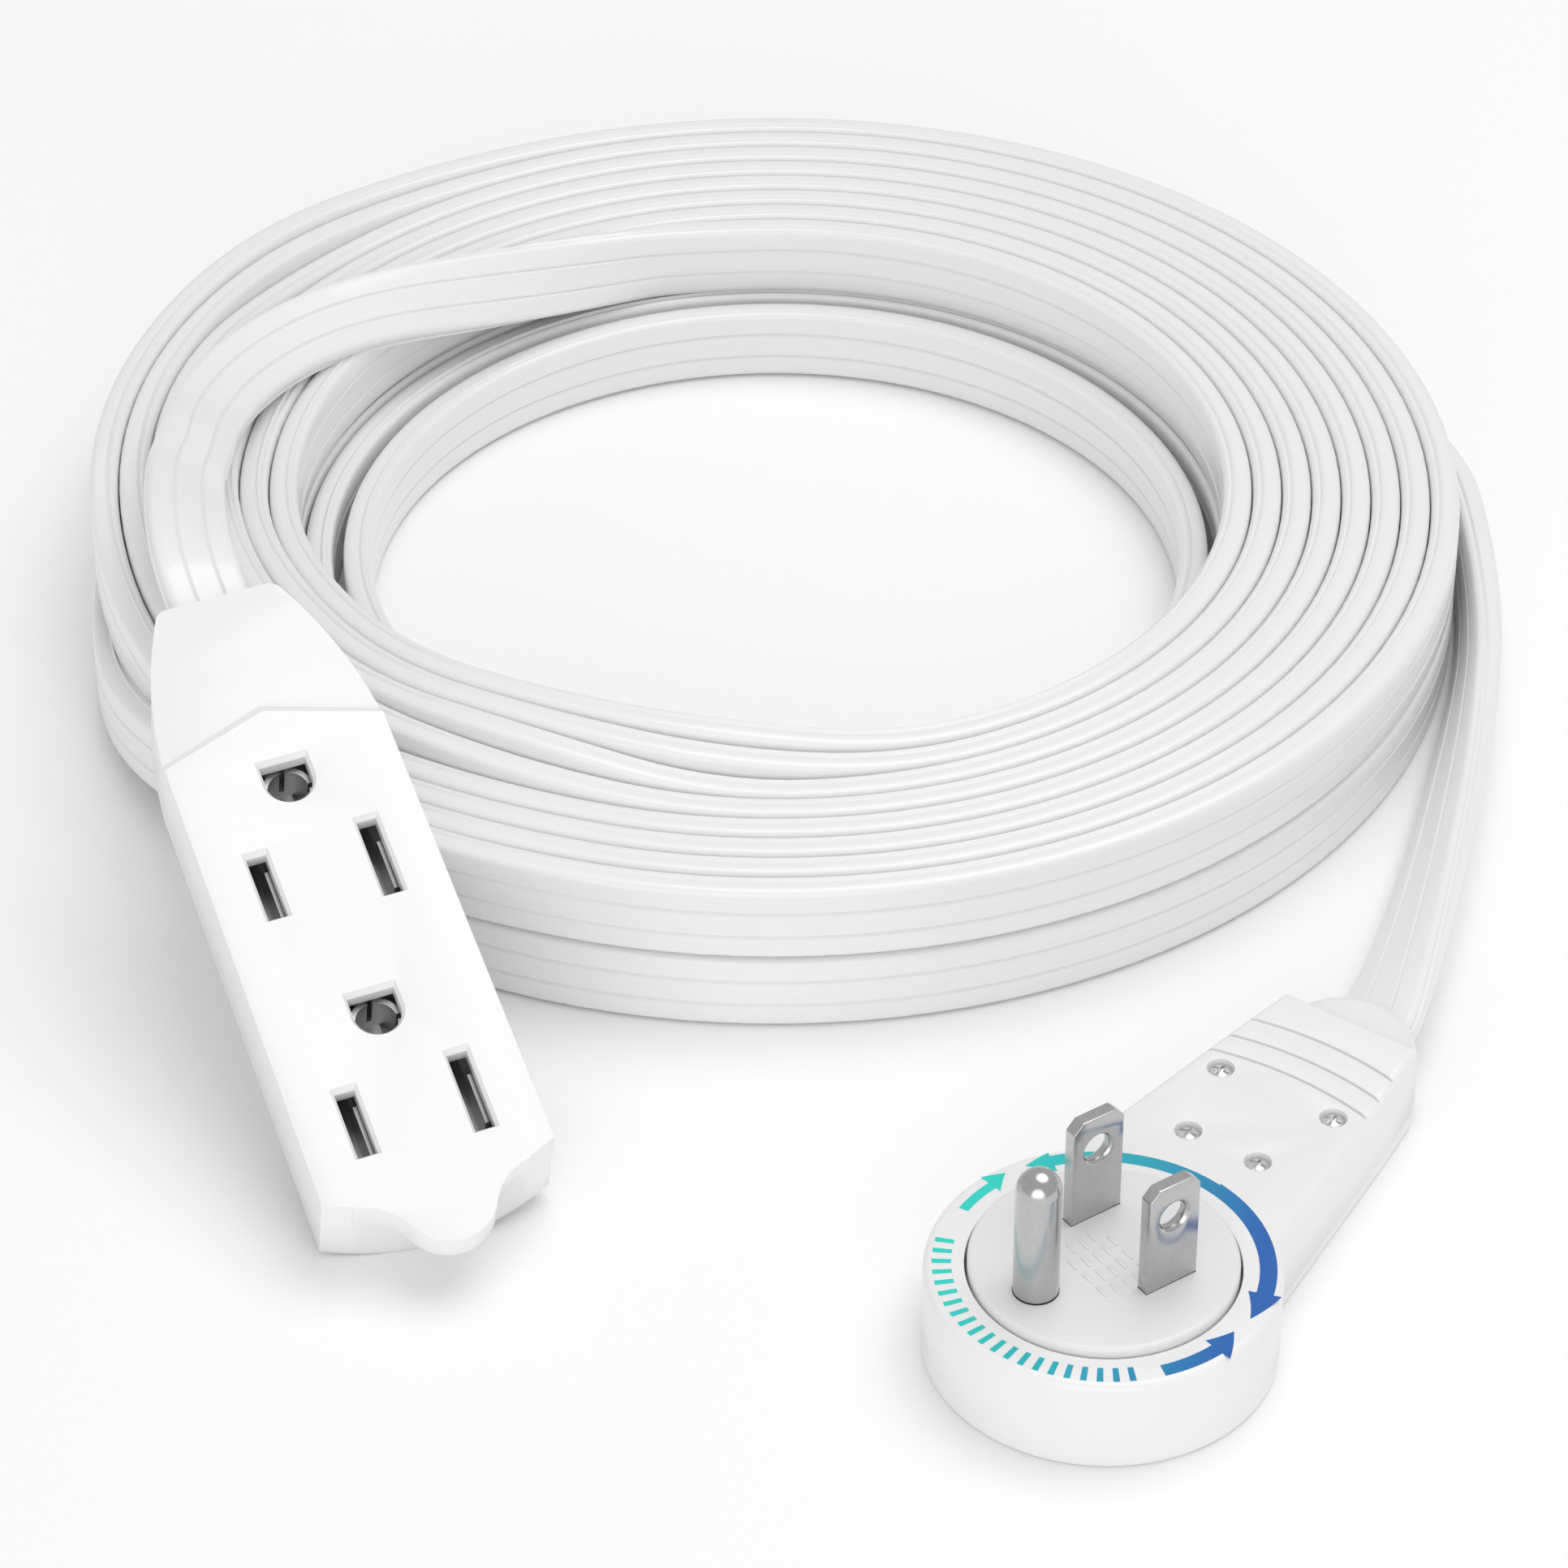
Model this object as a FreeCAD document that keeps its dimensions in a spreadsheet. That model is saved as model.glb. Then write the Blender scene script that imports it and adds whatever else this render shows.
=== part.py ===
"""Flat three-core extension cord: coiled cord, two-outlet block and rotating flat plug.

Units are millimetres.  Two local frames carry most of the parts and are then placed:
  block frame  x across, y along the block towards the cord, z up from the underside
  plug frame   x from the rotor's axis towards the cord, y to the left, z up from the floor
"""
import math
import os
import re

import FreeCAD
import Part
import Sketcher
from FreeCAD import Placement, Rotation, Vector

doc = FreeCAD.newDocument("extension_cord")
sheet = doc.addObject("Spreadsheet::Sheet", "Dims")

# alias, cell, meaning
DIMENSIONS = [
    ("cord_width", "9.5", "flat cord, across the three cores"),
    ("cord_thick", "3.4", "flat cord, through one core"),
    ("coil_radius", "81", "outside of the coil"),
    ("upper_inner", "54", "inside radius of the coil's upper layer"),
    ("lower_inner", "47.6", "inside radius of the coil's lower layer"),
    ("coil_x", "45.95", "coil centre"),
    ("coil_y", "86.02", "coil centre"),
    ("block_x", "7.26", "block frame origin"),
    ("block_y", "-20.90", "block frame origin"),
    ("block_z", "4.30", "block frame origin"),
    ("block_yaw", "22.2", "block frame, degrees"),
    ("block_tilt", "22.2", "block frame, degrees"),
    ("block_roll", "3.5", "block frame, degrees"),
    ("block_thick", "10.9", "outlet block, underside to face"),
    ("block_half", "12.8", "half width at the nose"),
    ("shoulder_half", "12.4", "half width where the neck begins"),
    ("shoulder_y", "46.8", "where the neck begins"),
    ("rear_half", "6.7", "half width of the cord end"),
    ("rear_y", "67.4", "cord end"),
    ("corner_y", "8", "nose corners ahead of the outlet"),
    ("nose_y", "11", "nose ahead of the outlet"),
    ("tongue_y", "16.3", "tip of the finger tongue"),
    ("tongue_thick", "3.4", "finger tongue"),
    ("cover_wall", "1.6", "outlet cover side wall"),
    ("cover_top", "2", "outlet cover face"),
    ("neck_drop", "0.35", "step down behind the crease"),
    ("neck_slope", "4", "fall of the neck's top, degrees"),
    ("crease_y", "50.7", "apex of the crease"),
    ("outlet_pitch", "29.8", "outlet to outlet"),
    ("blade_half", "6.35", "half the spacing of the parallel blades"),
    ("ground_offset", "11.9", "blade line to the ground pin"),
    ("slot_width", "2.2", "both blade slots"),
    ("hot_half", "3.9", "half length of the short slot"),
    ("neutral_half", "4.7", "half length of the long slot"),
    ("ground_half", "2.6", "half width of the D hole"),
    ("base_thick", "1.8", "bottom plate of the outlet block"),
    ("cord_level", "4.2", "cord centre above the block's underside"),
    ("plug_x", "79.65", "rotor axis"),
    ("plug_y", "-46.08", "rotor axis"),
    ("plug_yaw", "54.3", "plug frame, degrees"),
    ("head_radius", "18.5", "plug head"),
    ("head_height", "11.1", "plug housing"),
    ("seam_z", "2", "joint between plug base and cover"),
    ("plug_wall", "2", "plug cover wall and top"),
    ("neck_join_x", "14", "neck leaves the head"),
    ("neck_join_half", "12.6", "half width there"),
    ("neck_mid_x", "41", "neck at the grooves"),
    ("neck_mid_half", "9.4", "half width there"),
    ("neck_end_x", "48.5", "cord end of the housing"),
    ("neck_end_half", "8.3", "half width there"),
    ("ball_x", "47.6", "centre of the strain-relief boss"),
    ("ball_radius", "7.6", "strain-relief boss"),
    ("boss_flat_x", "41.2", "flat inner face of the strain relief"),
    ("plug_cord_z", "5.5", "cord centre in the plug"),
    ("disc_radius", "14", "rotating face"),
    ("disc_top", "12.1", "rotating face above the floor"),
    ("disc_gap", "0.3", "rim gap round the rotating face"),
    ("rotor_yaw", "-19.5", "blades relative to the neck, degrees"),
    ("blade_x", "3.2", "blade centre line in the rotor"),
    ("blade_width", "6.35", "blades"),
    ("blade_thick", "1.5", "blades"),
    ("blade_length", "13.2", "blades, above the face"),
    ("pin_radius", "2.38", "ground pin"),
    ("pin_length", "15.8", "ground pin, above the face"),
    ("shank_radius", "2.2", "buried end of the ground pin"),
    ("shank_rise", "0.2", "shank showing above the face"),
    ("journal_radius", "4", "rotor journal"),
    ("journal_gap", "0.05", "radial running clearance of the journal"),
]
SCRATCH_CELL = "H1"


def fill_sheet():
    """Write each driving dimension with its alias and meaning."""
    for row, (alias, text, meaning) in enumerate(DIMENSIONS, start=1):
        sheet.set(f"A{row}", alias)
        sheet.set(f"B{row}", text)
        sheet.setAlias(f"B{row}", alias)
        sheet.set(f"C{row}", meaning)
    doc.recompute()


def number(expression):
    """Present value of an expression written in the sheet's aliases."""
    sheet.set(SCRATCH_CELL, f"=({expression}) * 1")
    sheet.recompute()
    return float(sheet.get(SCRATCH_CELL))


def linked(expression):
    """The same expression as another object has to write it."""
    return re.sub(r"([a-z][a-z_]*)", r"Dims.\1", expression)


def bind(solid, **properties):
    """Tie properties of a solid to expressions."""
    for name, expression in properties.items():
        solid.setExpression(name, linked(expression))
    return solid


def move(solid, x="0", y="0", z="0"):
    """Tie a solid's position to three expressions."""
    for axis, expression in zip("xyz", (x, y, z)):
        solid.setExpression(f"Placement.Base.{axis}", linked(expression))
    return solid


def box(x, y, z):
    """Box between two expressions on each axis."""
    solid = doc.addObject("Part::Box", "box")
    sides = {}
    for name, (low, high) in zip(("Length", "Width", "Height"), (x, y, z)):
        sides[name] = f"({high}) - ({low})"
    bind(solid, **sides)
    return move(solid, x[0], y[0], z[0])


def cylinder(x, y, z, radius):
    """Upright cylinder between two heights."""
    solid = doc.addObject("Part::Cylinder", "cylinder")
    bind(solid, Radius=radius, Height=f"({z[1]}) - ({z[0]})")
    return move(solid, x, y, z[0])


def sphere(x, y, z, radius):
    """Sphere about a centre."""
    solid = doc.addObject("Part::Sphere", "sphere")
    bind(solid, Radius=radius)
    return move(solid, x, y, z)


def tube(x, y, z, inner, outer):
    """Upright ring between two radii."""
    return cut(cylinder(x, y, z, outer), cylinder(x, y, (f"{z[0]} - 1", f"{z[1]} + 1"), inner))


def fuse(*solids):
    """Union of solids."""
    if len(solids) == 1:
        return solids[0]
    union = doc.addObject("Part::MultiFuse", "union")
    union.Shapes = list(solids)
    return union


def common(first, second):
    """Intersection of two solids."""
    meet = doc.addObject("Part::Common", "common")
    meet.Base, meet.Tool = first, second
    return meet


def cut(base, *tools):
    """A solid with others removed."""
    remainder = doc.addObject("Part::Cut", "cut")
    remainder.Base = base
    remainder.Tool = tools[0] if len(tools) == 1 else fuse(*tools)
    return remainder


def pin_down(sketch, geometry, position, x, y):
    """Fix one point of a sketch at two expressions."""
    for kind, expression in (("DistanceX", x), ("DistanceY", y)):
        value = number(expression)
        index = sketch.addConstraint(
            Sketcher.Constraint(kind, -1, 1, geometry, position, value))
        sketch.setExpression(f"Constraints[{index}]", linked(expression))


def outline(points):
    """Closed sketch through (x, y) corners; (x, y, mid x, mid y) reaches a corner by an arc."""
    sketch = doc.addObject("Sketcher::SketchObject", "outline")
    places = [Vector(number(point[0]), number(point[1]), 0) for point in points]
    for index, point in enumerate(points):
        start, end = places[index - 1], places[index]
        if len(point) == 2:
            sketch.addGeometry(Part.LineSegment(start, end))
            begins = 1
        else:
            middle = Vector(number(point[2]), number(point[3]), 0)
            arc = Part.Arc(start, middle, end)
            edge = sketch.addGeometry(arc)
            mark = sketch.addGeometry(Part.Point(middle), True)
            sketch.addConstraint(Sketcher.Constraint("PointOnObject", mark, 1, edge))
            pin_down(sketch, mark, 1, point[2], point[3])
            first = sketch.getPoint(edge, 1)
            begins = 1 if first.distanceToPoint(start) < 1e-6 else 2
        edge = sketch.GeometryCount - 1 if len(point) == 2 else sketch.GeometryCount - 2
        pin_down(sketch, edge, begins, points[index - 1][0], points[index - 1][1])
        pin_down(sketch, edge, 3 - begins, point[0], point[1])
    return sketch


def prism(points, low, high):
    """Upright solid on an outline, between two heights."""
    sketch = outline(points)
    move(sketch, "0", "0", low)
    solid = doc.addObject("Part::Extrusion", "prism")
    solid.Base = sketch
    solid.DirMode = "Custom"
    solid.Dir = Vector(0, 0, 1)
    solid.Solid = True
    return bind(solid, LengthFwd=f"({high}) - ({low})")


def softened(base, radius, chosen, kind="Part::Fillet"):
    """Round or bevel the edges that a test on the edge picks."""
    doc.recompute()
    picks = [n for n, edge in enumerate(base.Shape.Edges, start=1) if chosen(edge)]
    if not picks:
        raise RuntimeError(f"no edge to soften on {base.Label}")
    finish = doc.addObject(kind, "soft")
    finish.Base = base
    finish.Edges = [(n, radius, radius) for n in picks]
    return finish


def at_height(edge, height):
    """True for an edge lying in a level plane."""
    box_of = edge.BoundBox
    return abs(box_of.ZMin - height) < 1e-4 and abs(box_of.ZMax - height) < 1e-4


def wire(points, radius):
    """Round wire through points given as expressions."""
    pieces = []
    places = [Vector(*(number(value) for value in point)) for point in points]
    for start, end, point in zip(places, places[1:], points):
        run = doc.addObject("Part::Cylinder", "run")
        bind(run, Radius=radius)
        run.Height = (end - start).Length
        run.Placement.Rotation = Rotation(Vector(0, 0, 1), end - start)
        pieces.append(move(run, *point))
    for point in points[1:-1]:
        pieces.append(sphere(*point, radius))
    return fuse(*pieces)


def node(solid, name, frame):
    """Name a finished sub-part and set it in its frame."""
    if solid.ExpressionEngine:
        wrapped = doc.addObject("Part::Compound", "wrapped")
        wrapped.Links = [solid]
        solid = wrapped
    solid.Label = name
    solid.Placement = frame
    nodes[name] = solid


nodes = {}
fill_sheet()
level = Placement(Vector(number("coil_x"), number("coil_y"), 0), Rotation())
turns = (
    Rotation(Vector(0, 0, 1), number("block_yaw"))
    * Rotation(Vector(1, 0, 0), number("block_tilt"))
    * Rotation(Vector(0, 1, 0), -number("block_roll"))
)
block = Placement(Vector(number("block_x"), number("block_y"), number("block_z")), turns)
plug = Placement(
    Vector(number("plug_x"), number("plug_y"), 0),
    Rotation(Vector(0, 0, 1), number("plug_yaw")))
rotor = plug * Placement(Vector(), Rotation(Vector(0, 0, 1), number("rotor_yaw")))


# ---- outlet block ---------------------------------------------------------------------------

OUTLETS = ("0", "outlet_pitch")
BOSSES = [("-9.1", "-1.5"), ("9.1", "-1.5"), ("-9.1", "42"), ("9.1", "42")]
LEFT, RIGHT = "-blade_half", "blade_half"


def block_outline(inset):
    """Plan of the block, drawn in by an inset."""
    nose, shoulder = f"block_half - ({inset})", f"shoulder_half - ({inset})"
    rear, flank = f"rear_half - ({inset})", f"10.6 - ({inset})"
    back, flank_y = f"rear_y - ({inset})", f"57.2 - 0.3 * ({inset})"
    corner, front = f"({inset}) - corner_y", f"({inset}) - nose_y"
    return [
        (nose, corner, "0", front),
        (shoulder, "shoulder_y"),
        (rear, back, flank, flank_y),
        (f"-({rear})", back),
        (f"-({shoulder})", "shoulder_y", f"-({flank})", flank_y),
        (f"-({nose})", corner),
    ]


def tongue():
    """Thin finger tongue at the nose, level with the face."""
    points = [
        ("-8.2", "-8.4"),
        ("-8.2", "-9.9"),
        ("-4.8", "-13.4", "-6.1", "-11.1"),
        ("4.8", "-13.4", "0", "-tongue_y"),
        ("8.2", "-9.9", "6.1", "-11.1"),
        ("8.2", "-8.4"),
    ]
    return prism(points, "block_thick - tongue_thick", "block_thick")


def neck_cutter():
    """Everything above the sloping neck, back from the V-shaped crease."""
    plan = [
        ("0", "crease_y"),
        ("block_half + 2", "shoulder_y - 0.6"),
        ("block_half + 2", "rear_y + 5"),
        ("-block_half - 2", "rear_y + 5"),
        ("-block_half - 2", "shoulder_y - 0.6"),
    ]
    column = prism(plan, "block_thick - 6", "block_thick + 6")
    slab = doc.addObject("Part::Box", "slab")
    bind(slab, Length="4 * block_half", Width="40", Height="12")
    slab.Placement.Rotation = Rotation(Vector(1, 0, 0), -number("neck_slope"))
    move(slab, "-2 * block_half", "shoulder_y - 2", "block_thick - neck_drop")
    return common(column, slab)


def blade_slot(x, y, half, low, high):
    """Slot for one flat blade."""
    return box((f"{x} - slot_width / 2", f"{x} + slot_width / 2"),
               (f"{y} - {half}", f"{y} + {half}"), (low, high))


def ground_hole(y, low, high):
    """D-shaped hole for the ground pin, flat side towards the cord."""
    centre = f"{y} + ground_offset"
    return [
        cylinder("0", centre, (low, high), "ground_half"),
        box(("-ground_half", "ground_half"), (centre, f"{centre} + 2.4"), (low, high)),
    ]


def outlet_cover():
    """Moulded shell with two outlets, neck and tongue."""
    outer = prism(block_outline("0"), "0", "block_thick")
    outer = softened(outer, 1.1, lambda edge: (
        edge.BoundBox.ZLength > 10 and edge.BoundBox.YMin > number("rear_y") - 0.1))
    outer = cut(fuse(outer, tongue()), neck_cutter())
    outer = softened(outer, 0.7, lambda edge: (
        at_height(edge, number("block_thick"))
        and edge.BoundBox.YMin < number("shoulder_y") - 1
        and edge.BoundBox.YMax < number("crease_y") - 3))
    cavity = prism(block_outline("cover_wall"), "-1", "6.8")
    hall = box(("-block_half + 2 * cover_wall", "block_half - 2 * cover_wall"),
               ("-corner_y + 1.6", "shoulder_y - 1"), ("6.5", "block_thick - cover_top"))
    rear = box(("-block_half", "block_half"), ("rear_y - 4.4", "rear_y"), ("-2", "7"))
    passage = box(("-cord_width / 2 - 0.1", "cord_width / 2 + 0.1"),
                  ("rear_y - 6", "rear_y + 2"),
                  ("cord_level - cord_thick / 2 - 0.1", "cord_level + cord_thick / 2 + 0.1"))
    top = ("block_thick - cover_top - 0.5", "block_thick + 1")
    holes = [cut(cavity, rear), hall, passage]
    for y in OUTLETS:
        holes.append(blade_slot(LEFT, y, "hot_half", *top))
        holes.append(blade_slot(RIGHT, y, "neutral_half", *top))
        holes += ground_hole(y, *top)
    shell = cut(outer, *holes)
    posts = [cylinder(x, y, ("base_thick", "block_thick - 1"), "1.35") for x, y in BOSSES]
    pilots = [cylinder(x, y, ("base_thick - 1", "7"), "0.8") for x, y in BOSSES]
    shell = cut(fuse(shell, *posts), *pilots)

    def at_mouth(edge):
        inside = edge.BoundBox
        return (at_height(edge, number("block_thick")) and inside.XMin > -8 and inside.XMax < 8
                and inside.YMin > -5 and inside.YMax < 45)

    return softened(shell, 0.35, at_mouth, "Part::Chamfer")


def outlet_base():
    """Bottom plate let into the cover's skirt."""
    plate = prism(block_outline("cover_wall + 0.1"), "0", "base_thick")
    rear = box(("-block_half", "block_half"), ("rear_y - 4.5", "rear_y"), ("-1", "3"))
    holes = [rear]
    for x, y in BOSSES:
        holes.append(cylinder(x, y, ("-1", "1"), "1.6"))
        holes.append(cylinder(x, y, ("0", "3"), "0.95"))
    return cut(plate, *holes)


def outlet_screws():
    """Four countersunk screws that hold the bottom plate."""
    pieces = []
    for x, y in BOSSES:
        head = cylinder(x, y, ("0.1", "1"), "1.5")
        slot = box((f"{x} - 1.2", f"{x} + 1.2"), (f"{y} - 0.2", f"{y} + 0.2"), ("0", "0.5"))
        pieces.append(cut(head, slot))
        pieces.append(cylinder(x, y, ("1", "6.5"), "0.78"))
    return fuse(*pieces)


def contact_carrier():
    """Insulating tray that keeps the three conductors apart."""
    tray = box(("-7.7", "7.7"), ("-6", "44.6"), ("base_thick", "3"))
    ribs = [box((x, f"{x} + 0.7"), ("-6", "44.6"), ("2.5", "8.6")) for x in ("-4.45", "3.75")]
    return fuse(tray, *ribs)


def power_bus(x, side):
    """Bus strip with a pair of spring leaves under each blade slot."""
    pieces = [
        box((f"{x} - 1.25", f"{x} + 1.25"), ("-5", "47.4"), ("3", "3.6")),
        box((f"{x} - 1.25", f"{x} + 1.25"), ("47", "47.6"), ("3", "5.4")),
    ]
    for y in OUTLETS:
        for offset in ("-1.15", "0.7"):
            pieces.append(box((f"{x} + {offset}", f"{x} + {offset} + 0.45"),
                              (f"{y} - 3", f"{y} + 3"), ("3.3", "8.3")))
    return fuse(*pieces)


def ground_bus():
    """Bus strip with a split sleeve under each ground hole."""
    pieces = [
        box(("-1.1", "1.1"), ("9.5", "47.4"), ("3", "3.6")),
        box(("-1.1", "1.1"), ("47", "47.6"), ("3", "5.4")),
    ]
    for y in OUTLETS:
        centre = f"{y} + ground_offset"
        sleeve = tube("0", centre, ("3.3", "8.3"), "2.3", "2.9")
        splits = [
            box(("-4", "4"), (f"{centre} - 0.3", f"{centre} + 0.3"), ("4.4", "9")),
            box(("-0.3", "0.3"), (f"{centre} - 4", f"{centre} + 4"), ("4.4", "9")),
        ]
        pieces.append(cut(sleeve, *splits))
    return fuse(*pieces)


def outlet_clamp():
    """Saddle that grips the jacket in the neck."""
    bridge = box(("-6", "6"), ("57.5", "60.5"), ("base_thick", "6.75"))
    bed = box(("-cord_width / 2", "cord_width / 2"), ("57", "61"),
              ("cord_level - cord_thick / 2", "cord_level + cord_thick / 2"))
    return cut(bridge, bed)


def outlet_wire(lane, x):
    """One insulated core from the jacket's end to its bus."""
    start, end = (lane, "61", "cord_level"), (x, "47.6", "cord_level")
    if x == lane:
        return wire([start, end], "1.1")
    return wire([start, (lane, "55", "cord_level"), (x, "50.5", "cord_level"), end], "1.1")


node(outlet_cover(), "outlet_cover", block)
node(outlet_base(), "outlet_base", block)
node(outlet_screws(), "outlet_screws", block)
node(contact_carrier(), "contact_carrier", block)
node(power_bus(LEFT, -1), "outlet_bus_line", block)
node(power_bus(RIGHT, 1), "outlet_bus_neutral", block)
node(ground_bus(), "outlet_bus_ground", block)
node(outlet_clamp(), "outlet_cord_clamp", block)
node(outlet_wire("-3.1", LEFT), "outlet_wire_line", block)
node(outlet_wire("3.1", RIGHT), "outlet_wire_neutral", block)
node(outlet_wire("0", "0"), "outlet_wire_ground", block)


# ---- plug -----------------------------------------------------------------------------------

COVER_SCREWS = [("22.7", "4.3"), ("22.7", "-4.3"), ("33.3", "7"), ("33.3", "-7")]


def plug_solid(inset, low, high):
    """Head and neck of the plug, drawn in by an inset."""
    neck = [
        ("0", "-16 + " + inset),
        ("neck_join_x", "-neck_join_half + " + inset),
        ("neck_mid_x", "-neck_mid_half + " + inset),
        (f"neck_end_x - {inset}", "-neck_end_half + " + inset),
        (f"neck_end_x - {inset}", "neck_end_half - " + inset),
        ("neck_mid_x", "neck_mid_half - " + inset),
        ("neck_join_x", "neck_join_half - " + inset),
        ("0", "16 - " + inset),
    ]
    head = cylinder("0", "0", (low, high), f"head_radius - {inset}")
    return fuse(head, prism(neck, low, high))


def groove(x, bow):
    """Shallow bowed groove across the neck."""
    band = [
        (x, "-14"),
        (x, "14", f"{x} + {bow}", "0"),
        (f"{x} - 0.45", "14"),
        (f"{x} - 0.45", "-14", f"{x} + {bow} - 0.45", "0"),
    ]
    return prism(band, "head_height - 0.4", "head_height + 1")


def trimmed(disc, gap):
    """The part of the round boss beyond its flat inner face."""
    return common(disc, box((f"boss_flat_x - {gap}", "ball_x + 9"), ("-9", "9"),
                            ("-2", "head_height")))


def plug_cover():
    """Deep upper shell with the ring round the rotating face."""
    outer = plug_solid("0", "seam_z", "head_height")
    outer = softened(outer, 0.8, lambda edge: at_height(edge, number("head_height")))
    room = plug_solid("plug_wall", "seam_z - 1", "head_height - plug_wall")
    tip = box(("neck_end_x - 9", "neck_end_x"), ("-11", "11"), ("0", "head_height"))
    window = cylinder("0", "0", ("0", "head_height + 1"), "disc_radius + disc_gap")
    socket = trimmed(cylinder("ball_x", "0", ("0", "head_height - 1.2"), "ball_radius + 0.1"),
                     "0.1")
    shaft = box(("neck_end_x - 12", "neck_end_x"), ("-cord_width / 2 - 0.1", "cord_width / 2 + 0.1"),
                ("seam_z - 1", "plug_cord_z + cord_thick / 2 + 0.1"))
    holes = [cut(room, tip), window, socket, shaft]
    holes += [groove("34.2", "2.6"), groove("37.3", "2.6"), groove("40.8", "2.6")]
    shell = cut(outer, *holes)
    posts = [cylinder(x, y, ("4", "head_height - 1"), "2") for x, y in COVER_SCREWS]
    bores = []
    for x, y in COVER_SCREWS:
        bores.append(cylinder(x, y, ("3", "head_height + 1"), "0.9"))
        bores.append(cylinder(x, y, ("head_height - 0.9", "head_height + 1"), "1.4"))
    return cut(fuse(shell, *posts), *bores)


def plug_base():
    """Bottom plate with the rotor's bearing, screw posts and cord saddle."""
    plate = softened(plug_solid("0", "0", "seam_z"), 0.6, lambda edge: at_height(edge, 0))
    bearing = cylinder("0", "0", ("1", "3.9"), "journal_radius + 1.2")
    posts = [cylinder(x, y, ("1", "4"), "1.2") for x, y in COVER_SCREWS]
    saddle = box(("36.8", "39.5"), ("-5.5", "5.5"), ("1", "plug_cord_z - cord_thick / 2"))
    solid = fuse(plate, bearing, saddle, *posts)
    holes = [
        cylinder("0", "0", ("0.9", "5"), "journal_radius + journal_gap"),
        trimmed(cylinder("ball_x", "0", ("-1", "5"), "ball_radius + 0.1"), "0.1"),
    ]
    holes += [cylinder(x, y, ("0.8", "5"), "0.75") for x, y in COVER_SCREWS]
    return cut(solid, *holes)


def cover_screws():
    """Four cross-head screws that close the plug."""
    pieces = []
    for x, y in COVER_SCREWS:
        dome = common(sphere(x, y, "head_height - 1.75", "1.9"),
                      cylinder(x, y, ("head_height - 0.9", "head_height + 1"), "1.3"))
        across = box((f"{x} - 0.85", f"{x} + 0.85"), (f"{y} - 0.17", f"{y} + 0.17"),
                     ("head_height - 0.5", "head_height + 1"))
        along = box((f"{x} - 0.17", f"{x} + 0.17"), (f"{y} - 0.85", f"{y} + 0.85"),
                    ("head_height - 0.5", "head_height + 1"))
        pieces.append(cut(dome, across, along))
        pieces.append(cylinder(x, y, ("1", "head_height - 0.9"), "0.73"))
    return fuse(*pieces)


def cord_grommet():
    """Round strain-relief boss under the housing's top, that the cord leaves through."""
    ball = cylinder("ball_x", "0", ("0.3", "head_height - 1.3"), "ball_radius")
    ball = trimmed(softened(ball, 2.6, lambda edge: edge.BoundBox.ZLength < 0.01), "0")
    bore = box(("ball_x - 9", "ball_x + 9"), ("-cord_width / 2 - 0.02", "cord_width / 2 + 0.02"),
               ("plug_cord_z - cord_thick / 2 - 0.02", "plug_cord_z + cord_thick / 2 + 0.02"))
    return cut(ball, bore)


def plug_clamp():
    """Bar that presses the jacket on the saddle."""
    return box(("36.8", "39.5"), ("-7", "7"), ("plug_cord_z + cord_thick / 2", "8.2"))


def rotor_face():
    """Rotating disc that the blades and pin stand out of."""
    disc = cylinder("0", "0", ("8.9", "disc_top"), "disc_radius")
    disc = softened(disc, 0.4, lambda edge: at_height(edge, number("disc_top")))
    holes = [blade_room(side, "8", "disc_top + 1", "0.02") for side in ("-1", "1")]
    holes.append(cylinder("blade_x - ground_offset", "0", ("8", "14"), "pin_radius + 0.03"))
    return cut(disc, *holes)


def blade_room(side, low, high, gap):
    """Space one blade takes, with a gap all round."""
    return box((f"blade_x - blade_width / 2 - {gap}", f"blade_x + blade_width / 2 + {gap}"),
               (f"{side} * blade_half - blade_thick / 2 - {gap}",
                f"{side} * blade_half + blade_thick / 2 + {gap}"), (low, high))


def rotor_carrier():
    """Hub under the disc: retaining flange, journal and seats for the blades."""
    pieces = [
        cylinder("0", "0", ("4.9", "8.9"), "12.4"),
        cylinder("0", "0", ("7.4", "8.7"), "15.6"),
        cylinder("0", "0", ("1", "5.5"), "journal_radius"),
    ]
    holes = []
    for side in ("-1", "1"):
        holes.append(blade_room(side, "6.5", "9.5", "0.02"))
    holes.append(foot_room("0.1", "1.5", "1", "0.02"))
    holes.append(foot_room("5", "6.3", "-1", "0.02"))
    holes.append(cylinder("blade_x - ground_offset", "0", ("6.5", "9.5"), "shank_radius + 0.02"))
    holes.append(box(("-10.82", "-10.18"), ("-0.72", "0.72"), ("4", "7")))
    return cut(fuse(*pieces), *holes)


def foot_room(low, high, side, gap):
    """Space of the narrow foot that joins a blade to its slip ring."""
    return box((f"{low} - {gap}", f"{high} + {gap}"),
               (f"{side} * blade_half - blade_thick / 2 - {gap}",
                f"{side} * blade_half + blade_thick / 2 + {gap}"), ("4.9", "6.6"))


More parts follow.
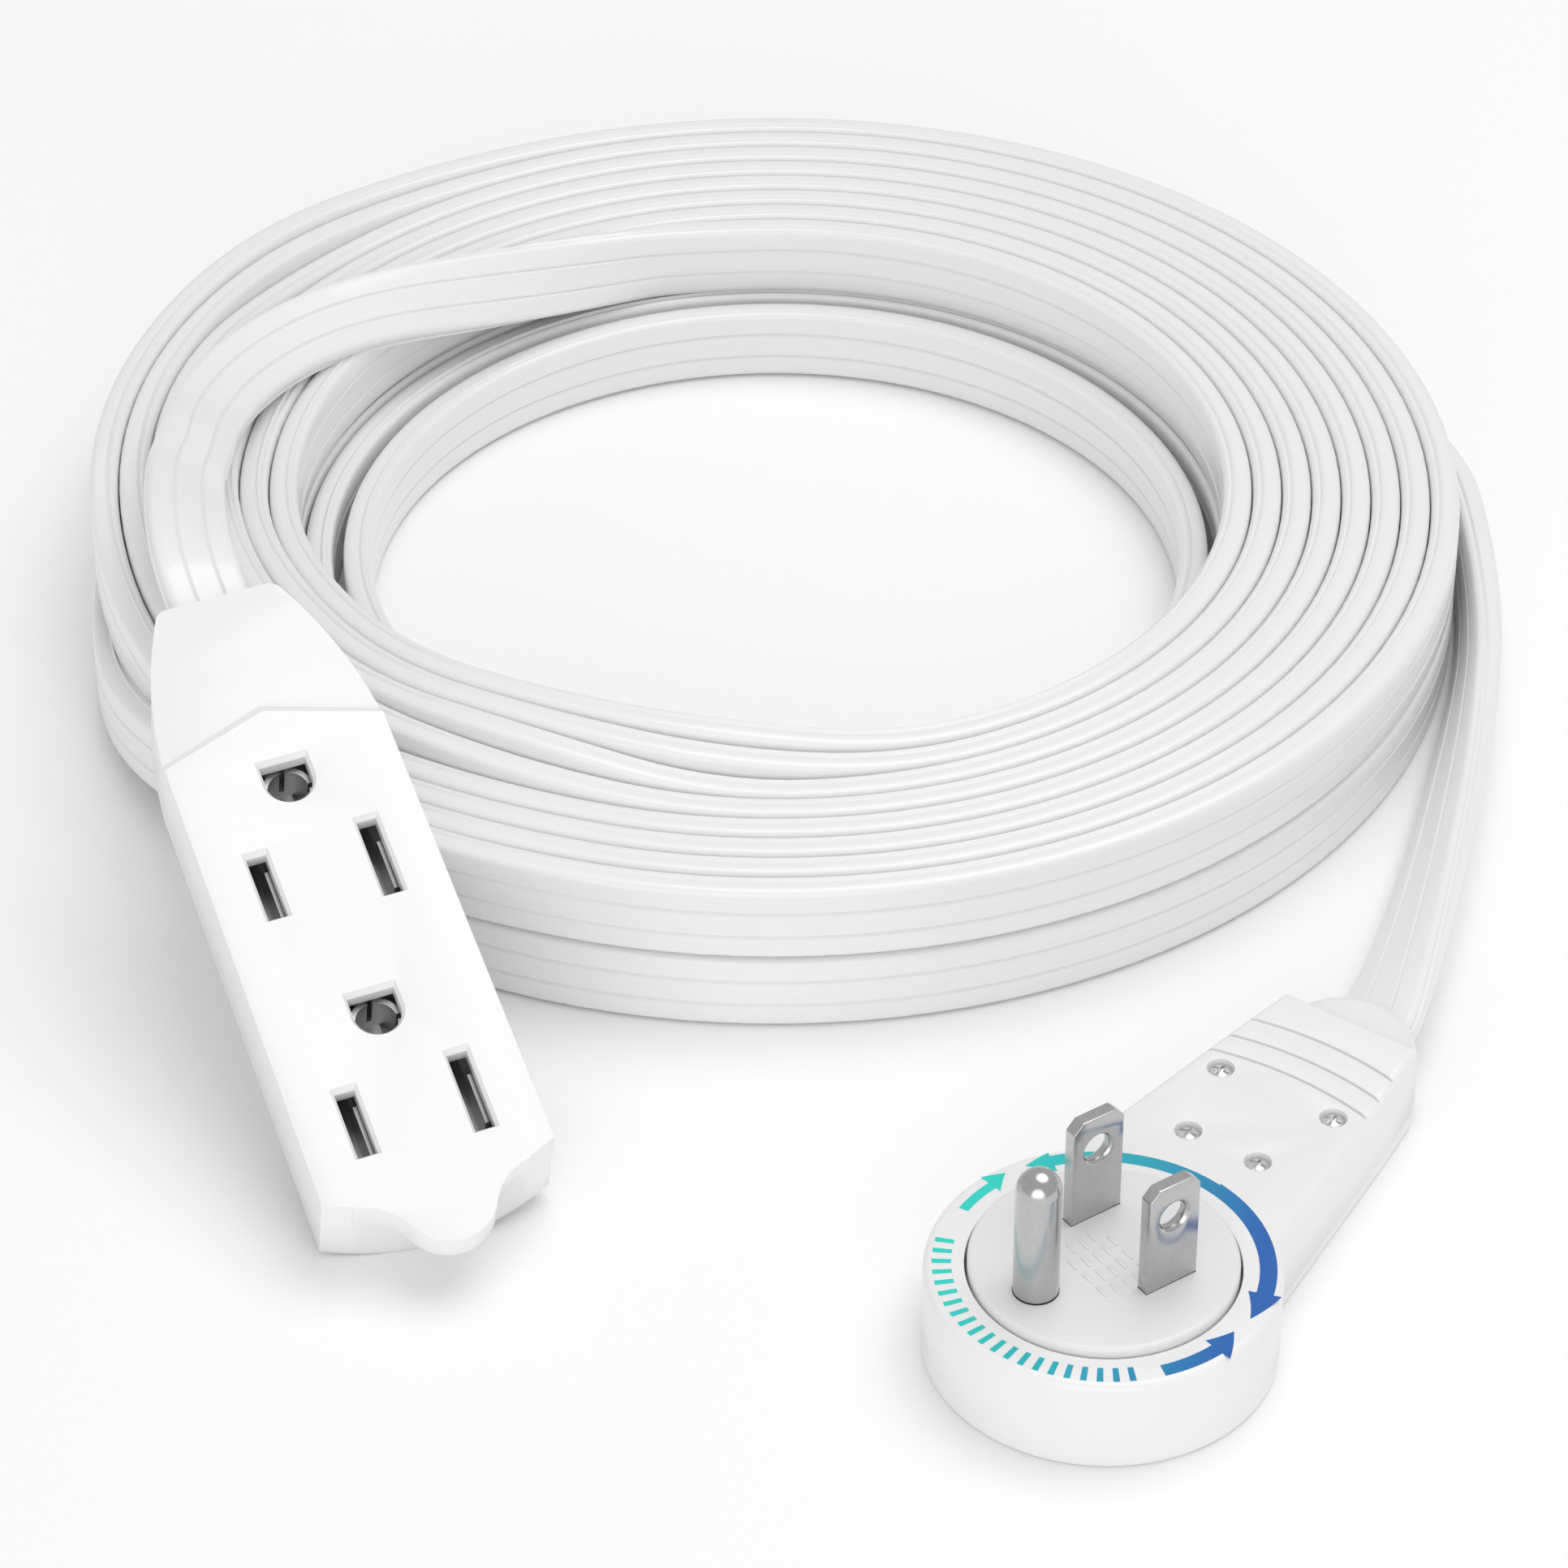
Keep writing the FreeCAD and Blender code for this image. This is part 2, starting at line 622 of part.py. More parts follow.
def blade(side, foot_low, foot_high):
    """Flat blade with a bevelled tip, a round hole and a foot."""
    low = f"{side} * blade_half - blade_thick / 2"
    high = f"{side} * blade_half + blade_thick / 2"
    bar = box(("blade_x - blade_width / 2", "blade_x + blade_width / 2"), (low, high),
              ("6.5", "disc_top + blade_length"))
    tip = number("disc_top + blade_length")
    bar = softened(bar, 0.9, lambda edge: (
        edge.BoundBox.ZMin > tip - 0.01 and edge.BoundBox.XLength < 0.01), "Part::Chamfer")
    bar = softened(bar, 0.45, lambda edge: (
        edge.BoundBox.ZMin > tip - 0.01 and edge.BoundBox.XLength > 1), "Part::Chamfer")
    eye = cylinder("0", "0", ("-3", "3"), "1.6")
    eye.Placement.Rotation = Rotation(Vector(1, 0, 0), 90)
    move(eye, "blade_x", f"{side} * blade_half + 3", "disc_top + blade_length - 4.2")
    foot = box((foot_low, foot_high), (low, high), ("4.9", "6.5"))
    return cut(fuse(bar, foot), eye)


def ground_pin():
    """Round pin with a domed tip, a slimmer buried shank and a foot."""
    x, shoulder = "blade_x - ground_offset", "disc_top + shank_rise"
    crown = "disc_top + pin_length - pin_radius"
    shank = cylinder(x, "0", ("6.5", shoulder), "shank_radius")
    shaft = cylinder(x, "0", (shoulder, crown), "pin_radius")
    dome = sphere(x, "0", crown, "pin_radius")
    foot = box(("-10.8", "-10.2"), ("-0.7", "0.7"), ("4.9", "6.6"))
    return fuse(shank, shaft, dome, foot)


def slip_ring(inner, outer):
    """Flat contact ring on the underside of the carrier."""
    return tube("0", "0", ("4.4", "4.9"), inner, outer)


def brush(x, y):
    """Fixed spring contact bearing on a slip ring."""
    tail = "19"
    return fuse(
        box((f"{x} - 0.5", tail), (f"{y} - 0.9", f"{y} + 0.9"), ("3.7", "4.1")),
        box((f"{tail} - 0.4", tail), (f"{y} - 0.9", f"{y} + 0.9"), ("seam_z", "6.6")),
    )


def plug_wire(y, lane):
    """One insulated core from the jacket's end to its brush."""
    end = ("36.3", lane, "plug_cord_z")
    if y == lane:
        return wire([("19", y, "plug_cord_z"), end], "1.1")
    return wire([("19", y, "plug_cord_z"), ("25.5", y, "plug_cord_z"),
                 ("31", lane, "plug_cord_z"), end], "1.1")


node(plug_cover(), "plug_cover", plug)
node(plug_base(), "plug_base", plug)
node(cover_screws(), "plug_screws", plug)
node(cord_grommet(), "plug_grommet", plug)
node(plug_clamp(), "plug_cord_clamp", plug)
node(brush("6.6", "0"), "brush_line", plug)
node(brush("5.2", "7.6"), "brush_neutral", plug)
node(brush("7.7", "-7.6"), "brush_ground", plug)
node(plug_wire("0", "0"), "plug_wire_line", plug)
node(plug_wire("7.6", "3.1"), "plug_wire_neutral", plug)
node(plug_wire("-7.6", "-3.1"), "plug_wire_ground", plug)
node(rotor_face(), "rotor_face", rotor)
node(rotor_carrier(), "rotor_carrier", rotor)
node(blade("1", "0.1", "1.5"), "blade_line", rotor)
node(blade("-1", "5", "6.3"), "blade_neutral", rotor)
node(ground_pin(), "ground_pin", rotor)
node(slip_ring("5.6", "7.1"), "slip_ring_line", rotor)
node(slip_ring("7.9", "9.3"), "slip_ring_neutral", rotor)
node(slip_ring("10.1", "11.5"), "slip_ring_ground", rotor)


# ---- cord -----------------------------------------------------------------------------------

def coil_ring(inner, low, high):
    """Outer shape of one layer of the coil."""
    return tube("0", "0", (low, high), inner, "coil_radius")


def tangent_route(points):
    """Straight runs joined by tangent arcs: sample points, tangents and the radii used."""
    samples = [(points[0], (points[1] - points[0]).normalize(), 0.0)]
    radii = []
    for before, corner, after in zip(points, points[1:], points[2:]):
        come = (corner - before).normalize()
        leave = (after - corner).normalize()
        turn = come.getAngle(leave)
        shorter = min((corner - before).Length, (after - corner).Length)
        reach = 0.45 * shorter
        radius = reach / math.tan(turn / 2)
        radii.append(radius)
        inward = (leave - come).normalize()
        centre = corner + inward * (radius / math.cos(turn / 2))
        axis = come.cross(leave)
        start = corner - come * reach
        for step in range(5):
            spin = Rotation(axis, math.degrees(turn) * step / 4)
            samples.append((centre + spin.multVec(start - centre), spin.multVec(come), turn))
    samples.append((points[-1], (points[-1] - points[-2]).normalize(), 0.0))
    return samples, radii


def flat_lead(name, points, first_across, last_across):
    """Flat cord along a route, its width turning evenly from one direction to the other."""
    samples, radii = tangent_route(points)
    gone = [0.0]
    for (here, _, _), (there, _, _) in zip(samples, samples[1:]):
        gone.append(gone[-1] + (there - here).Length)
    half_width = number("cord_width") / 2
    half_thick = number("cord_thick") / 2
    sections = []
    for (place, along, _), distance in zip(samples, gone):
        share = distance / gone[-1]
        ease = share * share * (3 - 2 * share)
        across = first_across * (1 - ease) + last_across * ease
        across = (across - along * across.dot(along)).normalize()
        through = along.cross(across)
        corners = [
            place + across * (half_width * side) + through * (half_thick * face)
            for side, face in ((-1, -1), (1, -1), (1, 1), (-1, 1), (-1, -1))
        ]
        sections.append(Part.makePolygon(corners))
    lead = doc.addObject("Part::Feature", name)
    lead.Shape = Part.makeLoft(sections, True, True)
    lead.Label = name
    nodes[name] = lead
    wanted = gone[-1] * 4 * half_width * half_thick
    print(f"{name}: length {gone[-1]:.1f}, volume {lead.Shape.Volume:.0f} of {wanted:.0f}, "
          f"smallest radius {min(radii):.1f}")


def from_coil(x, y, z):
    """Point given from the coil's centre."""
    return level.multVec(Vector(x, y, z))


node(coil_ring("lower_inner", "0", "cord_width"), "coil_lower", level)
node(coil_ring("upper_inner", "cord_width", "2 * cord_width"), "coil_upper", level)

OUTLET_ROUTE = [
    block.multVec(Vector(0, 61, number("cord_level"))),
    block.multVec(Vector(0, 76, number("cord_level"))),
    from_coil(-67.5, -24, 33),
    from_coil(-66.5, -4, 22.5),
    from_coil(-61, 16, 20.7),
    from_coil(-50.5, 33, 20.7),
]
PLUG_ROUTE = [
    plug.multVec(Vector(40, 0, number("plug_cord_z"))),
    plug.multVec(Vector(54.5, 0, number("plug_cord_z"))),
    from_coil(69.6, -74.6, 5.4),
    from_coil(76.8, -46.3, 5.3),
    from_coil(83, -20, 5.1),
    from_coil(82.5, 6, 4.76),
]
UP = Vector(0, 0, 1)
flat_lead("outlet_lead", OUTLET_ROUTE, block.Rotation.multVec(Vector(-1, 0, 0)),
          Vector(-0.85, 0.52, 0))
flat_lead("plug_lead", PLUG_ROUTE, plug.Rotation.multVec(Vector(0, -1, 0)), UP)

doc.recompute()
for item in doc.Objects:
    if "Invalid" in item.State or "Error" in item.State:
        raise RuntimeError(f"{item.Name} ({item.Label}) is {item.State}")
os.makedirs("parts", exist_ok=True)
for name, item in nodes.items():
    shape = item.Shape
    if shape.isNull() or not shape.isValid() or shape.Volume <= 0:
        raise RuntimeError(f"{name} has no valid shape")
    shape.exportStep(f"parts/{name}.step")
    print(f"{name}: {len(shape.Solids)} solid(s), {shape.Volume:.1f} mm3")
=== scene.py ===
"""Looks of the flat extension cord: a coiled flat cord, a two-outlet block and a rotating flat plug.

Local frames are in millimetres and become metres when a mesh is placed:
  block frame  x across, y along the block towards the cord, z up from the underside
  plug frame   x from the rotor's axis towards the cord, y to the left, z up from the floor
  coil frame   the coil's centre on the floor, angles anticlockwise from +X
"""
import math

import bmesh
import bpy
from mathutils import Matrix, Vector


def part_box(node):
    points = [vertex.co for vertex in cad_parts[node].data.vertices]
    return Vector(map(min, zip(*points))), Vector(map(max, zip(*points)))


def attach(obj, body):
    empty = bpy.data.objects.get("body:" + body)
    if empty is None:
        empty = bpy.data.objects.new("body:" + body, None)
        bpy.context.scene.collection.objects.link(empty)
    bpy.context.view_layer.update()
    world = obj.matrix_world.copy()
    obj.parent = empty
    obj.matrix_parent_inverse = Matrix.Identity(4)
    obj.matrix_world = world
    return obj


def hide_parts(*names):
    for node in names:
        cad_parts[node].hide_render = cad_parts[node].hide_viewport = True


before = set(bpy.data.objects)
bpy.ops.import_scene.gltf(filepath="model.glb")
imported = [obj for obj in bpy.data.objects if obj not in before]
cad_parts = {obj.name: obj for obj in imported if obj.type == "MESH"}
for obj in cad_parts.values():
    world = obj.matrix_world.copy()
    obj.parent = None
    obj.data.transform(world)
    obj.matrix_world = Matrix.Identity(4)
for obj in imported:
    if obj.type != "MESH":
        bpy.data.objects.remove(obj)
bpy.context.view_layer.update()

MM = 0.001
UP = Vector((0, 0, 1))


# ---- places -----------------------------------------------------------------------------------

def turn(axis, degrees):
    """Rotation about one axis."""
    return Matrix.Rotation(math.radians(degrees), 4, axis)


def middle(node):
    """Centre of a CAD node's box, dropped to the floor."""
    low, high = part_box(node)
    return Vector(((low.x + high.x) / 2, (low.y + high.y) / 2, 0))


BLOCK_ORIGIN = Vector((7.26, -20.90, 4.30))
BLOCK_YAW = 22.2
BLOCK_TILT = 22.2
BLOCK_ROLL = -3.5
PLUG_YAW = 54.3
ROTOR_YAW = -19.5

COIL = middle("coil_lower")
AXIS = middle("rotor_face")
TO_METRES = Matrix.Scale(MM, 4)
BLOCK = (Matrix.Translation(BLOCK_ORIGIN * MM)
         @ turn("Z", BLOCK_YAW) @ turn("X", BLOCK_TILT) @ turn("Y", BLOCK_ROLL) @ TO_METRES)
PLUG = Matrix.Translation(AXIS) @ turn("Z", PLUG_YAW) @ TO_METRES
ROTOR = PLUG @ turn("Z", ROTOR_YAW)
COIL_FRAME = Matrix.Translation(COIL) @ TO_METRES


# ---- materials --------------------------------------------------------------------------------

GRAIN_SCALE = 2600
GRAIN_DEPTH = 0.00002
PLATING_SCALE = 1800
PLATING_DEPTH = 0.0000004
INK_SCALE = 4000
INK_DEPTH = 0.000004
STREAKS = (6, 260, 1)
STREAK_DEPTH = 0.00003
RELIEF = 0.6


def shader(name, colour, roughness, **more):
    """Principled material with the sockets given by name."""
    made = bpy.data.materials.new(name)
    made.use_nodes = True
    principled = made.node_tree.nodes["Principled BSDF"]
    principled.inputs["Base Color"].default_value = (*colour, 1)
    principled.inputs["Roughness"].default_value = roughness
    for socket, value in more.items():
        principled.inputs[socket.replace("_", " ")].default_value = value
    return made


def grained(made, scale, depth, detail=3, stretch=None):
    """Add a fine relief from noise, in object space or along the jacket's own map."""
    tree = made.node_tree
    place = tree.nodes.new("ShaderNodeTexCoord")
    noise = tree.nodes.new("ShaderNodeTexNoise")
    relief = tree.nodes.new("ShaderNodeBump")
    noise.inputs["Scale"].default_value = scale
    noise.inputs["Detail"].default_value = detail
    relief.inputs["Strength"].default_value = RELIEF
    relief.inputs["Distance"].default_value = depth
    if stretch:
        spread = tree.nodes.new("ShaderNodeMapping")
        spread.inputs["Scale"].default_value = stretch
        tree.links.new(place.outputs["UV"], spread.inputs["Vector"])
        tree.links.new(spread.outputs["Vector"], noise.inputs["Vector"])
    else:
        tree.links.new(place.outputs["Object"], noise.inputs["Vector"])
    tree.links.new(noise.outputs["Fac"], relief.inputs["Height"])
    tree.links.new(relief.outputs["Normal"], tree.nodes["Principled BSDF"].inputs["Normal"])
    return noise


def mottled(made, noise, dark, light):
    """Let the noise shift the colour between two values."""
    tree = made.node_tree
    ramp = tree.nodes.new("ShaderNodeValToRGB")
    ramp.color_ramp.elements[0].position = 0.35
    ramp.color_ramp.elements[1].position = 0.65
    ramp.color_ramp.elements[0].color = (*dark, 1)
    ramp.color_ramp.elements[1].color = (*light, 1)
    tree.links.new(noise.outputs["Fac"], ramp.inputs["Fac"])
    tree.links.new(ramp.outputs["Color"], tree.nodes["Principled BSDF"].inputs["Base Color"])


def grey(level):
    """Neutral colour."""
    return (level, level, level)


def moulded(name, level, roughness, coat=0.25):
    """Moulded plastic: a faint satin grain, under a thin gloss where it has a coat."""
    made = shader(name, grey(level), roughness, Coat_Weight=coat, Coat_Roughness=0.12)
    noise = grained(made, GRAIN_SCALE, GRAIN_DEPTH)
    mottled(made, noise, grey(level - 0.012), grey(level))
    return made


def metal(name, dark, light, roughness):
    """Plated metal with faint drawing marks."""
    made = shader(name, light, roughness, Metallic=1.0)
    noise = grained(made, PLATING_SCALE, PLATING_DEPTH)
    mottled(made, noise, dark, light)
    return made


def vinyl():
    """Glossy white jacket with the faint streaks that extrusion leaves along it."""
    made = shader("cord_vinyl", grey(0.86), 0.3, Coat_Weight=0.35, Coat_Roughness=0.08)
    noise = grained(made, 1, STREAK_DEPTH, detail=2, stretch=STREAKS)
    mottled(made, noise, grey(0.84), grey(0.86))
    return made


def ink():
    """Printing whose colour is kept in the mesh."""
    made = shader("print_ink", (0.1, 0.6, 0.7), 0.35)
    noise = grained(made, INK_SCALE, INK_DEPTH)
    noise.inputs["Roughness"].default_value = 0.6
    tint = made.node_tree.nodes.new("ShaderNodeVertexColor")
    tint.layer_name = "tint"
    made.node_tree.links.new(
        tint.outputs["Color"], made.node_tree.nodes["Principled BSDF"].inputs["Base Color"])
    return made


HOUSING = moulded("housing_white", 0.86, 0.34)
DISC = moulded("disc_white", 0.8, 0.4)
COLLAR = moulded("collar_white", 0.84, 0.38)
CARRIER = moulded("carrier_grey", 0.55, 0.55, 0.0)
JACKET = vinyl()
INK = ink()
NICKEL = metal("nickel", grey(0.5), grey(0.53), 0.2)
CHROME = metal("chrome", grey(0.8), grey(0.86), 0.22)
CONTACT = metal("contact_plate", grey(0.62), grey(0.68), 0.42)
ZINC = metal("zinc", (0.5, 0.5, 0.52), (0.6, 0.6, 0.62), 0.35)
WIRES = {
    "line": moulded("wire_black", 0.05, 0.5, 0.0),
    "neutral": moulded("wire_white", 0.8, 0.5, 0.0),
    "ground": shader("wire_green", (0.05, 0.3, 0.1), 0.5),
}
grained(WIRES["ground"], GRAIN_SCALE, GRAIN_DEPTH)


# ---- mesh helpers -----------------------------------------------------------------------------

def arc_through(start, via, end, steps):
    """Points after start, up to end, of the arc through via."""
    (ax, ay), (bx, by), (cx, cy) = start, via, end
    spread = 2 * (ax * (by - cy) + bx * (cy - ay) + cx * (ay - by))
    a, b, c = ax * ax + ay * ay, bx * bx + by * by, cx * cx + cy * cy
    x = (a * (by - cy) + b * (cy - ay) + c * (ay - by)) / spread
    y = (a * (cx - bx) + b * (ax - cx) + c * (bx - ax)) / spread
    radius = math.hypot(ax - x, ay - y)
    first = math.atan2(ay - y, ax - x)
    inner = (math.atan2(by - y, bx - x) - first) % math.tau
    sweep = (math.atan2(cy - y, cx - x) - first) % math.tau
    if inner > sweep:
        sweep -= math.tau
    angles = [first + sweep * i / steps for i in range(1, steps + 1)]
    return [(x + radius * math.cos(angle), y + radius * math.sin(angle)) for angle in angles]


def outline(corners, steps=14):
    """Closed plan: (x, y) ends a straight side, (x, y, via_x, via_y) ends an arc."""
    points = []
    before = corners[-1][:2]
    for corner in corners:
        if len(corner) == 2:
            points.append(corner)
        else:
            points += arc_through(before, corner[2:], corner[:2], steps)
        before = corner[:2]
    return points


def circle(x, y, radius, steps=96):
    """Plan of a round piece."""
    return [
        (x + radius * math.cos(math.tau * i / steps), y + radius * math.sin(math.tau * i / steps))
        for i in range(steps)
    ]


def rectangle(x0, x1, y0, y1):
    """Plan of a box."""
    return [(x0, y0), (x1, y0), (x1, y1), (x0, y1)]


def new_object(name, mesh):
    """Object that holds a mesh."""
    made = bpy.data.objects.new(name, mesh)
    bpy.context.scene.collection.objects.link(made)
    return made


def from_bmesh(name, build):
    """Object from a bmesh, which is used up."""
    mesh = bpy.data.meshes.new(name)
    bmesh.ops.recalc_face_normals(build, faces=build.faces[:])
    build.to_mesh(mesh)
    build.free()
    return new_object(name, mesh)


def stacked(name, levels):
    """Solid from plans with the same number of points, each at its own height."""
    build = bmesh.new()
    rings = [[build.verts.new((x, y, z)) for x, y in plan] for plan, z in levels]
    build.faces.new(rings[0][::-1])
    build.faces.new(rings[-1])
    count = len(rings[0])
    for lower, upper in zip(rings, rings[1:]):
        for i in range(count):
            j = (i + 1) % count
            build.faces.new((lower[i], lower[j], upper[j], upper[i]))
    return from_bmesh(name, build)


def prism(name, plan, low, high):
    """Straight-walled solid."""
    return stacked(name, [(plan, low), (plan, high)])


def evaluated(piece):
    """Apply the piece's modifiers to its mesh."""
    depsgraph = bpy.context.evaluated_depsgraph_get()
    mesh = bpy.data.meshes.new_from_object(piece.evaluated_get(depsgraph))
    piece.modifiers.clear()
    piece.data = mesh


def combine(piece, tools, operation):
    """Boolean of the piece with each tool in turn; the tools are used up."""
    for tool in tools:
        step = piece.modifiers.new("combine", "BOOLEAN")
        step.operation = operation
        step.solver = "EXACT"
        step.object = tool
    evaluated(piece)
    for tool in tools:
        bpy.data.objects.remove(tool)
    return piece


def carve(piece, *tools):
    """Cut the tools away."""
    return combine(piece, tools, "DIFFERENCE")


def weld(piece, *tools):
    """Join the tools on."""
    return combine(piece, tools, "UNION")


def soften(piece, width, segments=3, angle=32, chosen=None):
    """Round the edges sharper than an angle, or the chosen ones."""
    step = piece.modifiers.new("soften", "BEVEL")
    step.width = width
    step.segments = segments
    step.limit_method = "ANGLE"
    step.angle_limit = math.radians(angle)
    if chosen:
        step.limit_method = "WEIGHT"
        weight = piece.data.attributes.new("bevel_weight_edge", "FLOAT", "EDGE")
        for edge in piece.data.edges:
            ends = [piece.data.vertices[i].co for i in edge.vertices]
            weight.data[edge.index].value = 1.0 if chosen(*ends) else 0.0
    evaluated(piece)
    return piece


def shade(piece, angle=38):
    """Smooth shading that breaks at sharp edges."""
    piece.data.polygons.foreach_set("use_smooth", [True] * len(piece.data.polygons))
    piece.data.set_sharp_from_angle(angle=math.radians(angle))


def hand_over(piece, place, material, slot, body, *nodes, angle=38):
    """Move a finished mesh to its place, give it its looks and let it ride."""
    piece.data.transform(place)
    shade(piece, angle)
    piece.data.materials.clear()
    piece.data.materials.append(material)
    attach(piece, body)
    if nodes:
        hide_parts(*nodes)
    return piece


def lathe(name, profile, steps=72):
    """Solid of revolution about z from (radius, height) pairs that start and end on the axis."""
    build = bmesh.new()
    rings = []
    for radius, height in profile:
        if radius == 0:
            rings.append([build.verts.new((0, 0, height))])
        else:
            rings.append([build.verts.new((x, y, height)) for x, y in circle(0, 0, radius, steps)])
    for lower, upper in zip(rings, rings[1:]):
        for i in range(steps):
            j = (i + 1) % steps
            corners = [lower[i % len(lower)], lower[j % len(lower)],
                       upper[j % len(upper)], upper[i % len(upper)]]
            build.faces.new(list(dict.fromkeys(corners)))
    return from_bmesh(name, build)


# ---- flat cord --------------------------------------------------------------------------------

# The lean turns the cord's width about its route: 90 lies flat, 180 stands on edge and 270 lies
# flat on its other face. JOG is the angle where a turn steps to the next. HULL is the share of
# its control points' radius at which an order-3 spline with 18 points a turn runs.

CORD_WIDTH = 9.5
CORD_THICK = 3.4
PITCH = 3.5
OUTER_TURN = 79.3
UPPER_TURNS = 8
UPPER_START = 104
LOWER_RADII = [79.3, 75.8, 72.3, 68.8, 65.3, 61.8, 58.3, 54.6, 50.0]
LOWER_START = 190
LOWER_Z = 4.78
UPPER_Z = 14.28
STEPS_PER_TURN = 18
STEP = 360 / STEPS_PER_TURN
JOG = 224
HULL = 0.9849
SPLINE_STEPS = 7
FLAT, ON_EDGE, FLAT_OVER = 90, 180, 270

CROSS_START, CROSS_END, CROSS_STEP = 262, 166, 14
CROSS_LOW, CROSS_HIGH = 50.0, 78.0
LIFT_REACH, LIFT_RAMP = 12.5, 6.0

BACK_RADIUS = 82.9
BLOCK_CORD_Z = 4.2
PLUG_CORD_Z = 5.5
UV_PER_METRE = 4


def polar(angle, radius, height, lean=ON_EDGE):
    """Control point of the cord on the coil, set out so that the spline runs at the radius."""
    reach = radius / HULL
    place = Vector((
        reach * math.cos(math.radians(angle)),
        reach * math.sin(math.radians(angle)),
        height))
    return COIL_FRAME @ place, lean


def from_coil(x, y, z, lean):
    """Control point given from the coil's centre."""
    return COIL_FRAME @ Vector((x, y, z)), lean


def from_block(x, y, z, lean):
    """Control point given in the block's frame."""
    return BLOCK @ Vector((x, y, z)), lean


def from_plug(x, y, z, lean):
    """Control point given in the plug's frame."""
    return PLUG @ Vector((x, y, z)), lean


def crossing_radius(angle):
    """Where the strand between the layers passes, going out from the middle."""
    share = (CROSS_START - angle) / (CROSS_START - CROSS_END)
    return CROSS_LOW + (CROSS_HIGH - CROSS_LOW) * share


def lift(angle, radius):
    """How far an upper turn rides up over the strand between the layers."""
    angle = angle % 360
    if not 120 < angle < 300:
        return 0.0
    away = abs(crossing_radius(angle) - radius)
    share = min(1.0, max(0.0, (LIFT_REACH - away) / LIFT_RAMP))
    return CORD_THICK * share * share * (3 - 2 * share)


def outlet_lead():
    """From inside the block, over the left rim and down inside the coil to the innermost turn."""
    return [
        from_block(0, 60, BLOCK_CORD_Z, FLAT),
        from_block(0, 67, BLOCK_CORD_Z, FLAT),
        from_block(0, 77, BLOCK_CORD_Z, 97),
        from_coil(-67.6, -24, 34.0, 112),
        from_coil(-67.6, -12, 29.2, 122),
        polar(179, 66.9, 25.2, 118),
        polar(168, 65.0, 23.3, 119),
        polar(157, 61.6, 22.2, 122),
        polar(146, 57.6, 20.6, 130),
        polar(134, 54.4, 18.2, 143),
        polar(122, 53.6, 16.0, 158),
        polar(112, 54.2, 14.7, 171),
    ]


def upper_layer():
    """Innermost turn outwards, each step made where the block hides it."""
    route = []
    angle = UPPER_START
    for number in range(UPPER_TURNS):
        radius = OUTER_TURN - PITCH * (UPPER_TURNS - 1 - number)
        while angle > JOG - 360:
            route.append(polar(angle, radius, UPPER_Z + lift(angle, radius)))
            angle -= STEP
        angle += 360
    return route


def descent():
    """Outermost upper turn drops to the outermost lower one, bulging round its neighbours."""
    return [
        polar(226, 80.3, 13.4),
        polar(214, 81.5, 10.0),
        polar(202, 81.2, 6.4),
    ]


def lower_layer():
    """Outermost turn inwards; the last ones lie loose."""
    route = []
    angle = LOWER_START
    for radius in LOWER_RADII:
        last = radius == LOWER_RADII[-1]
        end = CROSS_START + 20 - 360 if last else JOG - 360
        while angle > end:
            route.append(polar(angle, radius, LOWER_Z))
            angle -= STEP
        angle += 360
    return route


def crossing():
    """Flat between the layers, from the inside of the coil to its outside at the back left."""
    middle_z = CORD_WIDTH + CORD_THICK / 2
    route = [polar(CROSS_START + 18, 49.2, 5.6, 192), polar(CROSS_START + 4, 49.6, 8.8, 232)]
    angle = CROSS_START - 10
    while angle > CROSS_END:
        route.append(polar(angle, crossing_radius(angle), middle_z, FLAT_OVER))
        angle -= CROSS_STEP
    route += [
        polar(156, 81.8, 9.9, 250),
        polar(143, 83.4, 7.2, 215),
        polar(129, 83.2, 5.2, 190),
    ]
    return route


def round_the_back():
    """Outside the coil, on the floor, to the right-hand side."""
    return [polar(angle, BACK_RADIUS, LOWER_Z) for angle in range(112, 10, -20)]


def plug_lead():
    """Peels off the coil and rolls flat towards the plug."""
    return [
        from_coil(83.7, 9.5, 4.9, 178),
        from_coil(83.7, -6, 5.0, 171),
        from_coil(82.6, -19, 5.1, 162),
        from_coil(80.2, -32, 5.2, 152),
        from_coil(77.0, -46.5, 5.3, 143),
        from_coil(73.5, -61, 5.4, 136),
        from_coil(69.8, -74.5, 5.5, 126),
        from_plug(58.6, 1.3, 5.6, 112),
        from_plug(53.0, 0, PLUG_CORD_Z, 98),
        from_plug(44, 0, PLUG_CORD_Z, FLAT),
    ]


def spline_points(places):
    """Points read from a NURBS spline through its control points."""
    curve = bpy.data.curves.new("route", "CURVE")
    curve.dimensions = "3D"
    curve.resolution_u = SPLINE_STEPS
    spline = curve.splines.new("NURBS")
    spline.points.add(len(places) - 1)
    for point, place in zip(spline.points, places):
        point.co = (*place, 1)
    spline.order_u = 3
    spline.use_endpoint_u = True
    holder = bpy.data.objects.new("route", curve)
    bpy.context.scene.collection.objects.link(holder)
    mesh = bpy.data.meshes.new_from_object(holder)
    points = [vertex.co.copy() for vertex in mesh.vertices]
    bpy.data.objects.remove(holder)
    bpy.data.curves.remove(curve)
    bpy.data.meshes.remove(mesh)
    return points


